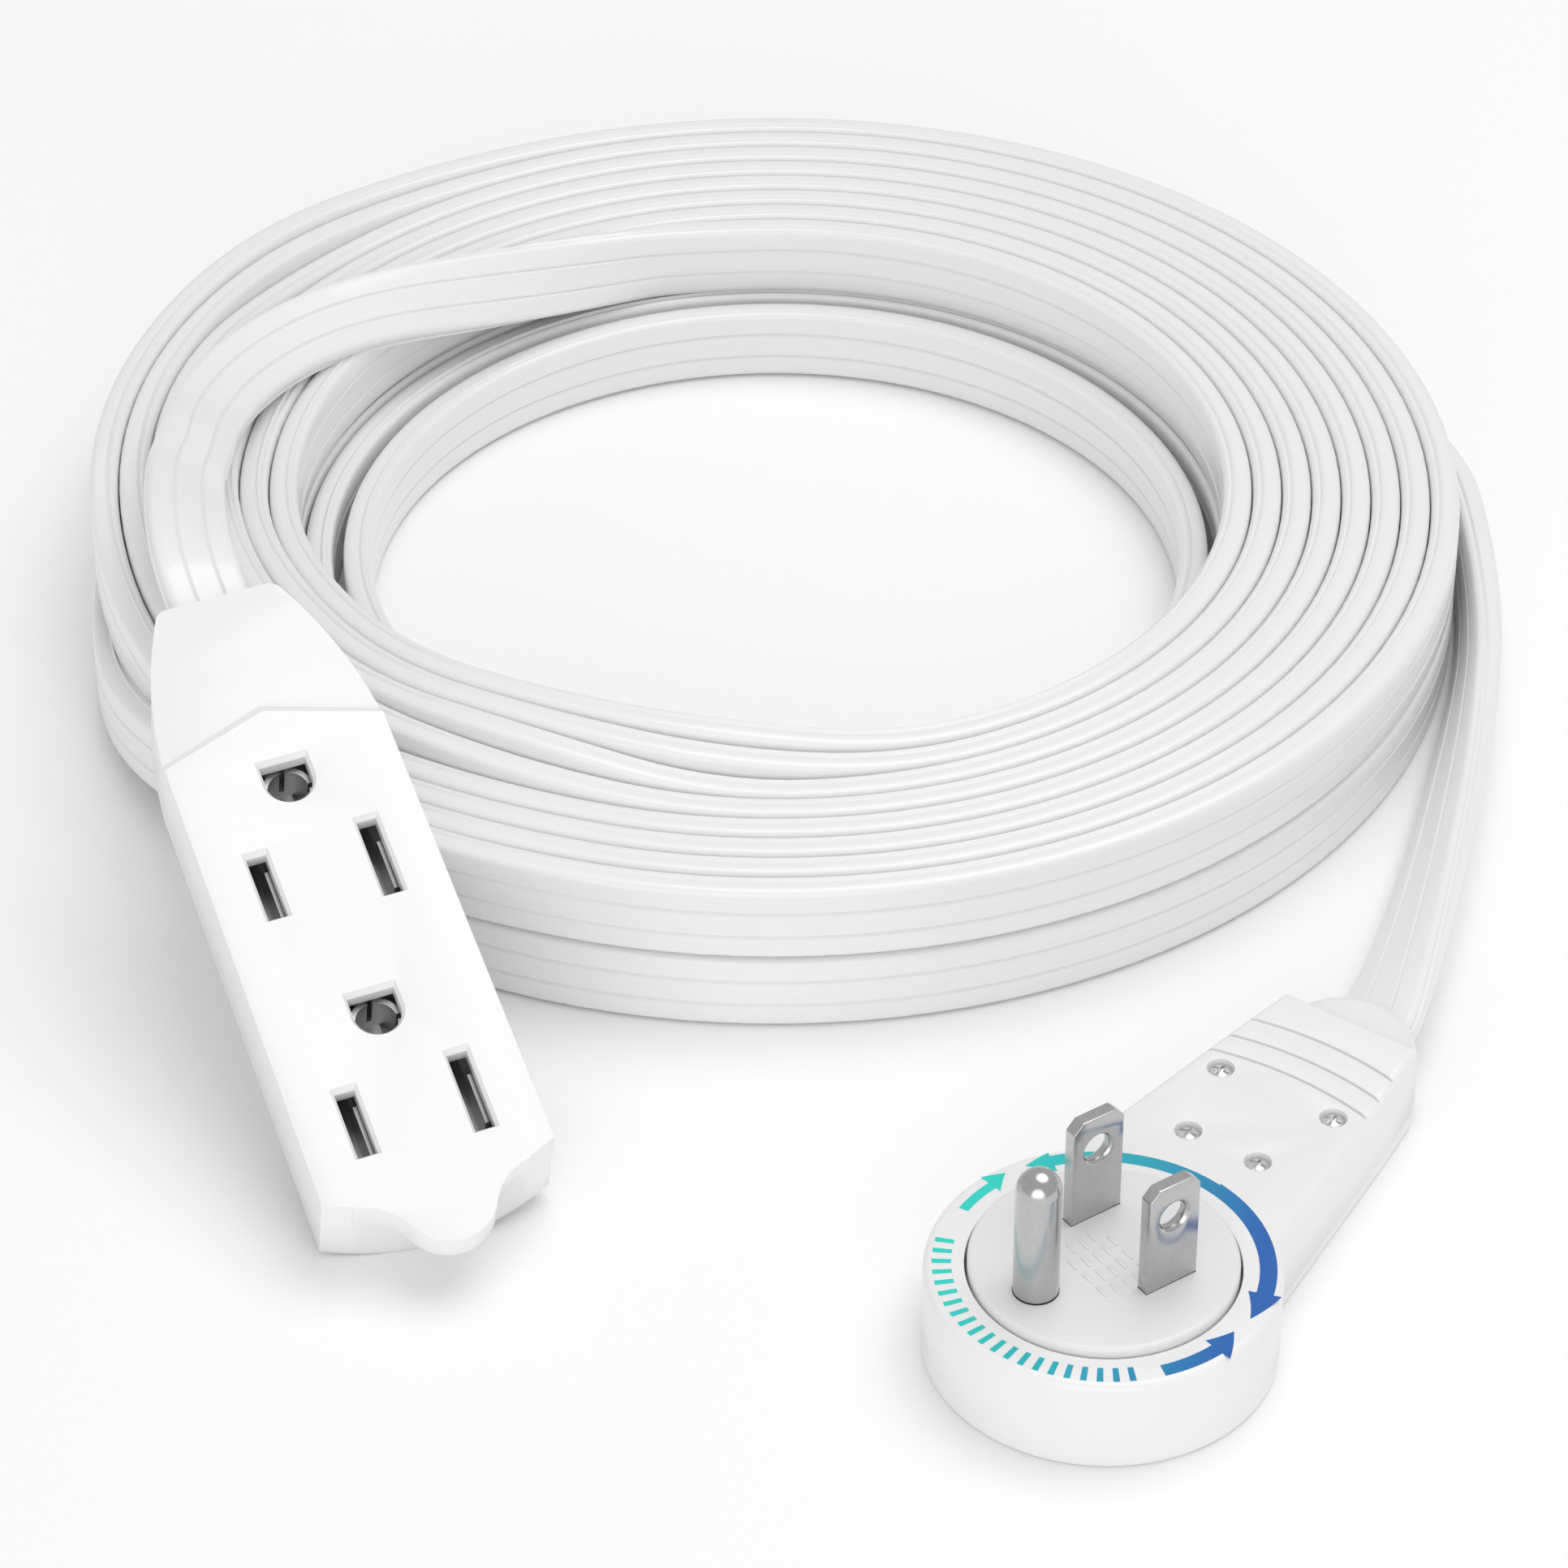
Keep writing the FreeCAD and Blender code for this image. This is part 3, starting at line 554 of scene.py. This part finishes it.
def width_rail(route):
    """Second line beside the cord that its width points to."""
    rail = []
    for i, (place, lean) in enumerate(route):
        before = route[max(i - 1, 0)][0]
        after = route[min(i + 1, len(route) - 1)][0]
        along = (after - before).normalized()
        side = along.cross(UP).normalized()
        over = side.cross(along)
        across = over * math.cos(math.radians(lean)) + side * math.sin(math.radians(lean))
        rail.append(place + across * (CORD_WIDTH / 2 * MM))
    return rail


def jacket_section():
    """One ring of the jacket as (across, through): two grooves a face, a ridge on each edge."""
    face = [
        (4.1, 1.58), (3.7, 1.68), (1.86, 1.7), (1.6, 1.46), (1.34, 1.7),
        (-1.34, 1.7), (-1.6, 1.46), (-1.86, 1.7), (-3.7, 1.68), (-4.1, 1.58),
    ]
    edge = [
        (-4.4, 1.35), (-4.58, 0.8), (-4.6, 0.1), (-4.58, -0.2),
        (-4.78, -0.48), (-4.46, -0.76), (-4.56, -1.08), (-4.36, -1.44),
    ]
    half = face + edge
    return half + [(-across, -through) for across, through in half]


def jacket_rings(build, line, rail):
    """Rings of the jacket, square to the route and turned towards the rail."""
    section = jacket_section()
    rings = []
    for i, (place, edge) in enumerate(zip(line, rail)):
        before, after = line[max(i - 1, 0)], line[min(i + 1, len(line) - 1)]
        along = (after - before).normalized()
        across = edge - place
        across = (across - along * across.dot(along)).normalized()
        through = along.cross(across)
        rings.append([
            build.verts.new(place + across * (a * MM) + through * (b * MM)) for a, b in section])
    return rings


def lengths_along(line):
    """Length of the route up to each of its points."""
    lengths = [0.0]
    for before, after in zip(line, line[1:]):
        lengths.append(lengths[-1] + (after - before).length)
    return lengths


def jacket(line, rail):
    """Mesh of the whole jacket, mapped along its length."""
    build = bmesh.new()
    chart = build.loops.layers.uv.new("UVMap")
    rings = jacket_rings(build, line, rail)
    lengths = lengths_along(line)
    count = len(rings[0])
    for i, (first, second) in enumerate(zip(rings, rings[1:])):
        here, there = lengths[i], lengths[i + 1]
        for j in range(count):
            k = (j + 1) % count
            face = build.faces.new((first[j], first[k], second[k], second[j]))
            wrap = ((here, j), (here, j + 1), (there, j + 1), (there, j))
            for loop, (length, around) in zip(face.loops, wrap):
                loop[chart].uv = (length * UV_PER_METRE, around / count)
    build.faces.new(rings[0])
    build.faces.new(rings[-1][::-1])
    return from_bmesh("flat_cord", build)


def flat_cord():
    """The whole cord as one flat jacket along its route."""
    route = (outlet_lead() + upper_layer() + descent() + lower_layer() + crossing()
             + round_the_back() + plug_lead())
    line = spline_points([place for place, _ in route])
    rail = spline_points(width_rail(route))
    cord = jacket(line, rail)
    hand_over(cord, Matrix.Identity(4), JACKET, "cord_jacket", "cord_set",
              "coil_lower", "coil_upper", "outlet_lead", "plug_lead", angle=36)


# ---- outlet block -----------------------------------------------------------------------------

THICK = 10.9
OUTLETS = (0, 29.8)
BLADE_HALF = 6.35
GROUND = 11.9
CREASE = 50.7
CREASE_DROP = 0.5
CREASE_LEAN = 1.25
NECK_SLOPE = 4
SHOULDER = 46.8
SHOULDER_HALF = 12.4
FLANK = 57.2
FLANK_HALF = 10.6
REAR = 67.4
REAR_HALF = 6.7
NOSE_HALF = 12.8
NOSE_SIDE = 8
NOSE_TIP = 11
WALL = 1.6
ROOF = 2
ROOM_TOP = 6.8
TONGUE_THICK = 3.4
SLOT_HALF_WIDTH = 1.1
LINE_HALF_LENGTH = 3.9
NEUTRAL_HALF_LENGTH = 4.7
OPENING_BOTTOM = 5.0


def block_plan(inset=0.0):
    """Plan of the block, drawn in all round."""
    nose, shoulder = NOSE_HALF - inset, SHOULDER_HALF - inset
    rear, flank = REAR_HALF - inset, FLANK_HALF - inset
    back, front = REAR - inset, inset - NOSE_TIP
    flank_y = FLANK - 0.3 * inset
    return outline([
        (nose, inset - NOSE_SIDE, 0, front),
        (shoulder, SHOULDER),
        (rear, back, flank, flank_y),
        (-rear, back),
        (-shoulder, SHOULDER, -flank, flank_y),
        (-nose, inset - NOSE_SIDE),
    ], 20)


def tongue_plan():
    """Finger tongue with flanks that swing out into the nose."""
    return outline([
        (-9.8, -8.2),
        (-9.8, -9.5),
        (-4.7, -13.3, -6.75, -10.75),
        (4.7, -13.3, 0, -16.3),
        (9.8, -9.5, 6.75, -10.75),
        (9.8, -8.2),
    ], 12)


def neck_cutter():
    """Everything above the sloping neck; its front wall leans, which leaves a slanting crease."""
    side, beyond = 16, REAR + 12
    levels = []
    for height, back in ((THICK - 6, 6.0), (THICK + 4, -4.0)):
        shift = back * CREASE_LEAN
        levels.append(([
            (0, CREASE + shift),
            (-side, SHOULDER - 1.2 + shift),
            (-side, beyond),
            (side, beyond),
            (side, SHOULDER - 1.2 + shift),
        ], height))
    column = stacked("neck_column", levels)
    slab = prism("neck_slab", rectangle(-20, 20, -8, 40), 0, 14)
    slab.data.transform(
        Matrix.Translation((0, SHOULDER - 2, THICK - CREASE_DROP)) @ turn("X", -NECK_SLOPE))
    return combine(column, [slab], "INTERSECT")


def flared(name, plan, grown):
    """Opening with a shallow lead-in."""
    return stacked(name, [
        (plan, OPENING_BOTTOM), (plan, THICK - 0.5), (grown, THICK - 0.05), (grown, THICK + 2)])


def slot_tool(x, y, half):
    """Blade slot with its lead-in."""
    opening = rectangle(x - SLOT_HALF_WIDTH, x + SLOT_HALF_WIDTH, y - half, y + half)
    return flared("slot", opening, rectangle(x - 1.45, x + 1.45, y - half - 0.3, y + half + 0.55))


def ground_tool(y):
    """D-shaped hole with its lead-in."""
    centre = y + GROUND

    def letter(radius, front, back):
        return outline([
            (-radius, centre + back),
            (-radius, centre),
            (radius, centre, 0, centre - front),
            (radius, centre + back),
        ], 24)

    return flared("ground", letter(2.6, 2.6, 2.4), letter(2.95, 2.9, 2.95))


def block_cover():
    """White shell of the outlet block."""
    shell = prism("outlet_cover_shell", block_plan(), 0, THICK)
    soften(shell, 0.9, 5, chosen=lambda a, b: abs(a.z - b.z) > 5 and a.y > REAR - 0.1)
    weld(shell, prism("tongue", tongue_plan(), THICK - TONGUE_THICK, THICK))
    carve(shell, neck_cutter())
    cavity = prism("cavity", block_plan(WALL), -1, ROOM_TOP)
    carve(cavity, prism("rear", rectangle(-13, 13, REAR - 4.4, REAR), -2, 7))
    hall = prism("hall", rectangle(-9.6, 9.6, -6.4, SHOULDER - 1), 6.5, THICK - ROOF)
    passage = prism("passage", rectangle(-4.85, 4.85, REAR - 6, REAR + 2), 2.4, 6.0)
    carve(shell, cavity, hall, passage)
    tools = []
    for y in OUTLETS:
        tools.append(slot_tool(-BLADE_HALF, y, LINE_HALF_LENGTH))
        tools.append(slot_tool(BLADE_HALF, y, NEUTRAL_HALF_LENGTH))
        tools.append(ground_tool(y))
    carve(shell, *tools)
    soften(shell, 0.28, 3, angle=44)
    return hand_over(shell, BLOCK, HOUSING, "housing", "cord_set", "outlet_cover", angle=33)


# ---- plug -------------------------------------------------------------------------------------

HEAD = 18.5
HEAD_TOP = 11.1
HEAD_WALL = 2.0
SEAM = 2.0
NECK_JOIN = math.radians(44.5)
NECK_MID, NECK_MID_HALF = 41, 9.4
NECK_END, NECK_END_HALF = 48.5, 8.3
GROOVES = (34.2, 37.3, 40.8)
GROOVE_BOW = 2.6
GROOVE_SIZE = 0.4
BOSS_X = 47.6
BOSS_RADIUS = 7.6
BOSS_FLAT = 41.2
BOSS_BOTTOM = 0.3
BOSS_ROUNDING = 2.6
COVER_SCREWS = ((22.7, 4.3), (22.7, -4.3), (33.3, 7), (33.3, -7))
SCREW_SEAT = HEAD_TOP - 0.9
CORE_RADIUS = 0.73
CROSS_HALF = 0.95
CROSS_SLIT = 0.2
CROSS_FLOOR = 10.35
WINDOW = 14.3
DISC_RADIUS = 14
DISC_BOTTOM = 8.9
DISC_TOP = 12.1
ROOT = 6.5
BLADE_X = 3.2
BLADE_WIDTH = 6.35
BLADE_HALF_THICK = 0.75
BLADE_LENGTH = 13.2
BLADE_CORNER = 1.1
EYE_DROP = 4.2
EYE_RADIUS, EYE_RIM = 1.6, 2.0
PIN_RADIUS = 2.38
PIN_LENGTH = 15.8
SHANK_RADIUS = 2.2
SHANK_RISE = 0.2
DASH = (0.34, 1.7, 0.16)
DASH_PITCH = 2.5


def plug_plan(inset=0.0):
    """Round head that runs into the tapered neck."""
    head = HEAD - inset
    join_x, join_y = head * math.cos(NECK_JOIN), head * math.sin(NECK_JOIN)
    return outline([
        (join_x, -join_y, -head, 0),
        (NECK_MID, inset - NECK_MID_HALF),
        (NECK_END - inset, inset - NECK_END_HALF),
        (NECK_END - inset, NECK_END_HALF - inset),
        (NECK_MID, NECK_MID_HALF - inset),
        (join_x, join_y),
    ], 90)


def groove_tool(x):
    """Bowed groove across the neck."""
    near = x - GROOVE_SIZE
    return prism("groove", outline([
        (x, -14),
        (x, 14, x + GROOVE_BOW, 0),
        (near, 14),
        (near, -14, x + GROOVE_BOW - GROOVE_SIZE, 0),
    ], 24), HEAD_TOP - GROOVE_SIZE, HEAD_TOP + 1)


def boss_plan(radius, flat):
    """Plan of the round strain relief, with a flat side towards the plug's inside."""
    reach = radius * 0.5
    shoulder = math.sqrt(3) / 2 * radius
    return outline([
        (BOSS_X - reach, -shoulder, BOSS_X + radius, 0),
        (flat, -reach),
        (flat, reach),
        (BOSS_X - reach, shoulder),
    ], 90)


def plug_shell():
    """Deep upper shell with the ring round the rotating face."""
    shell = prism("plug_cover_shell", plug_plan(), SEAM, HEAD_TOP)
    soften(shell, 0.9, 5, chosen=lambda a, b: min(a.z, b.z) > HEAD_TOP - 0.01)
    room = prism("room", plug_plan(HEAD_WALL), SEAM - 1, HEAD_TOP - HEAD_WALL)
    carve(room, prism("tip", rectangle(39.5, 50, -12, 12), 0, 12))
    window = prism("window", circle(0, 0, WINDOW), 0, HEAD_TOP + 1)
    socket = prism("socket", boss_plan(BOSS_RADIUS + 0.1, BOSS_FLAT - 0.1), 0, HEAD_TOP - 1.2)
    shaft = prism("shaft", rectangle(36.5, 49, -4.85, 4.85), SEAM - 1, 7.3)
    carve(shell, room, window, socket, shaft)
    carve(shell, *[groove_tool(x) for x in GROOVES])
    for x, y in COVER_SCREWS:
        weld(shell, prism("post", circle(x, y, 2.2, 32), 4, HEAD_TOP - 1))
        carve(shell, prism("bore", circle(x, y, 0.9, 32), 3, HEAD_TOP + 1),
              prism("recess", circle(x, y, 1.5, 48), SCREW_SEAT, HEAD_TOP + 1))
    soften(shell, 0.12, 3)
    return hand_over(shell, PLUG, HOUSING, "housing", "cord_set", "plug_cover")


def collar():
    """Round strain-relief boss that the cord leaves through."""
    inner = BOSS_RADIUS - BOSS_ROUNDING
    spring = HEAD_TOP - 1.3 - BOSS_ROUNDING
    levels = [(boss_plan(inner, BOSS_FLAT), BOSS_BOTTOM),
              (boss_plan(BOSS_RADIUS, BOSS_FLAT), BOSS_BOTTOM + BOSS_ROUNDING)]
    for degrees in range(0, 91, 10):
        tilt = math.radians(degrees)
        radius = inner + BOSS_ROUNDING * math.cos(tilt)
        levels.append((boss_plan(radius, BOSS_FLAT), spring + BOSS_ROUNDING * math.sin(tilt)))
    boss = stacked("plug_collar", levels)
    carve(boss, prism("bore", rectangle(38, 60, -4.6, 4.6), 3.9, 7.1))
    return hand_over(boss, PLUG, COLLAR, "grommet", "cord_set", "plug_grommet", angle=50)


def screw_heads():
    """Four domed cross-head screws, sunk in their recesses."""
    core = [(0, SEAM), (CORE_RADIUS, SEAM), (CORE_RADIUS, 10.2)]
    crown = [(1.3, 10.2), (1.3, 10.4), (1.2, 10.58), (0.9, 10.8), (0.45, 10.92), (0, 10.95)]
    group = None
    for x, y in COVER_SCREWS:
        head = lathe("plug_screw_heads", core + crown, 40)
        head.data.transform(Matrix.Translation((x, y, 0)))
        across = rectangle(x - CROSS_HALF, x + CROSS_HALF, y - CROSS_SLIT, y + CROSS_SLIT)
        along = rectangle(x - CROSS_SLIT, x + CROSS_SLIT, y - CROSS_HALF, y + CROSS_HALF)
        carve(head, prism("across", across, CROSS_FLOOR, 12), prism("along", along, CROSS_FLOOR, 12))
        soften(head, 0.05, 2)
        group = weld(group, head) if group else head
    return hand_over(group, PLUG, CHROME, "screw_chrome", "cord_set", "plug_screws")


def blade(side, node):
    """Flat blade with a bevelled tip and a countersunk hole."""
    tip = DISC_TOP + BLADE_LENGTH
    left, right = BLADE_X - BLADE_WIDTH / 2, BLADE_X + BLADE_WIDTH / 2
    plan = [
        (left, ROOT), (right, ROOT), (right, tip - BLADE_CORNER),
        (right - BLADE_CORNER, tip), (left + BLADE_CORNER, tip), (left, tip - BLADE_CORNER),
    ]
    bar = prism(node + "_bar", plan, -BLADE_HALF_THICK, BLADE_HALF_THICK)
    wedge = [
        (BLADE_HALF_THICK, tip - 2.0), (1.5, tip - 2.0), (1.5, tip + 0.5), (0.36, tip + 0.5),
        (0.4, tip),
    ]
    through = Matrix(((0, 0, 1, BLADE_X), (0, 1, 0, 0), (1, 0, 0, 0), (0, 0, 0, 1)))
    for face in (1, -1):
        cutter = prism("tip", [(face * a, b) for a, b in wedge], -8, 8)
        cutter.data.transform(through)
        carve(bar, cutter)
    rim = circle(BLADE_X, tip - EYE_DROP, EYE_RIM, 48)
    throat = circle(BLADE_X, tip - EYE_DROP, EYE_RADIUS, 48)
    carve(bar, stacked("eye", [(rim, -0.8), (throat, -0.4), (throat, 0.4), (rim, 0.8)]))
    soften(bar, 0.1, 3, angle=20)
    stand = Matrix(((1, 0, 0, 0), (0, 0, 1, side * BLADE_HALF), (0, 1, 0, 0), (0, 0, 0, 1)))
    bar.data.transform(stand)
    bar.data.flip_normals()
    return hand_over(bar, ROTOR, NICKEL, "blade_nickel", "plug_rotor", node, angle=30)


def pin():
    """Round ground pin with a domed tip."""
    top = DISC_TOP + PIN_LENGTH
    shoulder = DISC_TOP + SHANK_RISE
    profile = [(0, ROOT), (SHANK_RADIUS, ROOT), (SHANK_RADIUS, shoulder), (PIN_RADIUS, shoulder)]
    for degrees in range(0, 90, 5):
        tilt = math.radians(degrees)
        height = top - PIN_RADIUS + PIN_RADIUS * math.sin(tilt)
        profile.append((PIN_RADIUS * math.cos(tilt), height))
    profile.append((0, top))
    post = lathe("ground_pin_post", profile)
    post.data.transform(Matrix.Translation((BLADE_X - GROUND, 0, 0)))
    return hand_over(post, ROTOR, NICKEL, "blade_nickel", "plug_rotor", "ground_pin", angle=50)


def face_disc():
    """Rotating disc with the openings for the blades and the pin."""
    disc = prism("rotor_face_disc", circle(0, 0, DISC_RADIUS), DISC_BOTTOM, DISC_TOP)
    soften(disc, 0.5, 4, chosen=lambda a, b: min(a.z, b.z) > DISC_TOP - 0.01)
    tools = []
    for y in (BLADE_HALF, -BLADE_HALF):
        slit = rectangle(BLADE_X - 3.22, BLADE_X + 3.22, y - 0.79, y + 0.79)
        tools.append(prism("slit", slit, 8, 13))
    tools.append(prism("eye", circle(BLADE_X - GROUND, 0, PIN_RADIUS + 0.05, 48), 8, 13))
    carve(disc, *tools)
    return hand_over(disc, ROTOR, DISC, "rotor_face", "plug_rotor", "rotor_face")


def raised_dashes():
    """Rows of plain raised dashes on the disc, each row as (x, first y, how many)."""
    build = bmesh.new()
    rows = [(-3.4, -4.2, 3), (-2.0, -4.6, 4), (-0.6, -4.8, 4), (0.8, -4.4, 4), (2.2, -3.6, 3)]
    for x, first, count in rows:
        for i in range(count):
            y = first + i * DASH_PITCH
            corners = bmesh.ops.create_cube(build, size=1)["verts"]
            bmesh.ops.scale(build, vec=DASH, verts=corners)
            bmesh.ops.translate(build, vec=(x, y, DISC_TOP + 0.06), verts=corners)
    marks = from_bmesh("disc_dashes", build)
    soften(marks, 0.07, 2)
    return hand_over(marks, ROTOR, DISC, "rotor_face", "plug_rotor")


TEAL = Vector((0.013, 0.66, 0.57))
BLUE = Vector((0.006, 0.115, 0.44))
PRINT_Z = HEAD_TOP + 0.015
TICK_FIRST, TICK_LAST = 112, 226
TICK_STEP, TICK_SWEEP = 5.5, 2.2
TICK_LOW, TICK_HIGH = 15.6, 17.6
FADE_X, FADE_Y = 0.35, 0.94
FADE_CONTRAST = 0.62


def band(build, low, high, start, end, steps):
    """Curved strip of print between two radii; the radii may change along it."""
    previous = None
    for i in range(steps + 1):
        share = i / steps
        angle = math.radians(start + (end - start) * share)
        pair = []
        for first, last in (low, high):
            radius = first + (last - first) * share
            place = (radius * math.cos(angle), radius * math.sin(angle), PRINT_Z)
            pair.append(build.verts.new(place))
        if previous:
            build.faces.new((previous[0], previous[1], pair[1], pair[0]))
        previous = pair


def arrow(build, low, high, start, end, base_low, base_high, tip_radius, tip):
    """Curved shaft that ends in an arrow head."""
    band(build, (low, low), (high, high), start, end, 20)
    band(build, (base_low, tip_radius - 0.02), (base_high, tip_radius + 0.02), end, tip, 8)


def ring_print():
    """Curved arrows and a row of plain ticks round the rotating face."""
    build = bmesh.new()
    arrow(build, 15.95, 17.55, -10, 52, 15.0, 18.1, 17.0, 62)
    arrow(build, 15.95, 17.75, -10, -70, 15.1, 18.6, 16.7, -84)
    arrow(build, 15.9, 17.0, 95, 78, 15.2, 18.2, 17.1, 70)
    arrow(build, 16.0, 17.6, -126, -104, 15.1, 18.7, 16.3, -93)
    tick = TICK_FIRST
    while tick < TICK_LAST:
        band(build, (TICK_LOW, TICK_LOW), (TICK_HIGH, TICK_HIGH), tick, tick + TICK_SWEEP, 2)
        tick += TICK_STEP
    printed = from_bmesh("ring_print", build)
    for face in printed.data.polygons:
        if face.normal.z < 0:
            face.flip()
    tint = printed.data.color_attributes.new("tint", "FLOAT_COLOR", "POINT")
    for vertex, colour in zip(printed.data.vertices, tint.data):
        towards = (vertex.co.x * FADE_X - vertex.co.y * FADE_Y) / 18
        share = min(1.0, max(0.0, 0.5 + FADE_CONTRAST * towards))
        colour.color = (*TEAL.lerp(BLUE, share), 1)
    return hand_over(printed, PLUG, INK, "housing", "cord_set")


def plug_pieces():
    """Makes the plug's own pieces and lists all that the cord carries, inner nodes included."""
    made = [plug_shell(), collar(), screw_heads(), face_disc(), raised_dashes(), ring_print(), pin()]
    made += [blade(1, "blade_line"), blade(-1, "blade_neutral")]
    names = ["plug_base", "plug_cord_clamp", "rotor_carrier"]
    for part in ("brush_", "slip_ring_", "plug_wire_"):
        names += [part + core for core in ("line", "neutral", "ground")]
    return made + [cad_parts[name] for name in names]


def dress_nodes():
    """Finishes for the CAD nodes that stay as they are."""
    finishes = {
        "outlet_base": HOUSING, "plug_base": HOUSING, "outlet_screws": ZINC,
        "contact_carrier": CARRIER, "rotor_carrier": CARRIER,
        "outlet_cord_clamp": CARRIER, "plug_cord_clamp": CARRIER,
    }
    for core in ("line", "neutral", "ground"):
        finishes["outlet_bus_" + core] = CONTACT
        finishes["brush_" + core] = CONTACT
        finishes["slip_ring_" + core] = CONTACT
        finishes["outlet_wire_" + core] = WIRES[core]
        finishes["plug_wire_" + core] = WIRES[core]
    for node, finish in finishes.items():
        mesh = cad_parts[node].data
        mesh.materials.clear()
        mesh.materials.append(finish)


# ---- studio -----------------------------------------------------------------------------------

# AIM is in millimetres from the coil's centre, FLOOR_SIZE and DISTANCE are in metres.

SKY = 0.62
FLOOR_SIZE = 6.0
LENS = 140
SENSOR = 36
ELEVATION = math.radians(37.37)
DISTANCE = 0.7061
AIM = Vector((1.0, -36.7, 0))


def lamp(name, size, power, place):
    """Round area lamp, placed in metres from the coil and aimed at it."""
    light = bpy.data.lights.new(name, "AREA")
    light.shape = "DISK"
    light.size = size
    light.energy = power
    holder = bpy.data.objects.new(name, light)
    bpy.context.scene.collection.objects.link(holder)
    holder.location = COIL + Vector(place)
    aim = COIL - holder.location
    holder.rotation_euler = aim.to_track_quat("-Z", "Y").to_euler()


def studio():
    """White floor, bright even sky, a broad lamp from above and a broad fill from the front."""
    scene = bpy.context.scene
    scene.view_settings.view_transform = "Standard"
    world = bpy.data.worlds.new("sky")
    world.use_nodes = True
    world.node_tree.nodes["Background"].inputs["Color"].default_value = (1, 1, 1, 1)
    world.node_tree.nodes["Background"].inputs["Strength"].default_value = SKY
    scene.world = world

    floor = new_object("floor", bpy.data.meshes.new("floor"))
    half = FLOOR_SIZE / 2
    corners = [(x, y, 0) for x, y in rectangle(-half, half, -half, half)]
    floor.data.from_pydata(corners, [], [(0, 1, 2, 3)])
    floor.data.materials.append(shader("floor_white", grey(0.97), 0.6))

    lamp("key", 0.9, 4.2, (0.25, 0.1, 1.0))
    lamp("fill", 1.2, 5.0, (-0.1, -1.15, 0.22))


def camera():
    """Looks along +Y, from well above."""
    scene = bpy.context.scene
    lens = bpy.data.cameras.new("camera")
    lens.lens = LENS
    lens.sensor_width = SENSOR
    view = bpy.data.objects.new("camera", lens)
    scene.collection.objects.link(view)
    back = Vector((0, -math.cos(ELEVATION), math.sin(ELEVATION)))
    view.location = COIL + AIM * MM + back * DISTANCE
    view.rotation_euler = (math.pi / 2 - ELEVATION, 0, 0)
    scene.camera = view


block_cover()
carried = plug_pieces()
dress_nodes()
flat_cord()
studio()
camera()
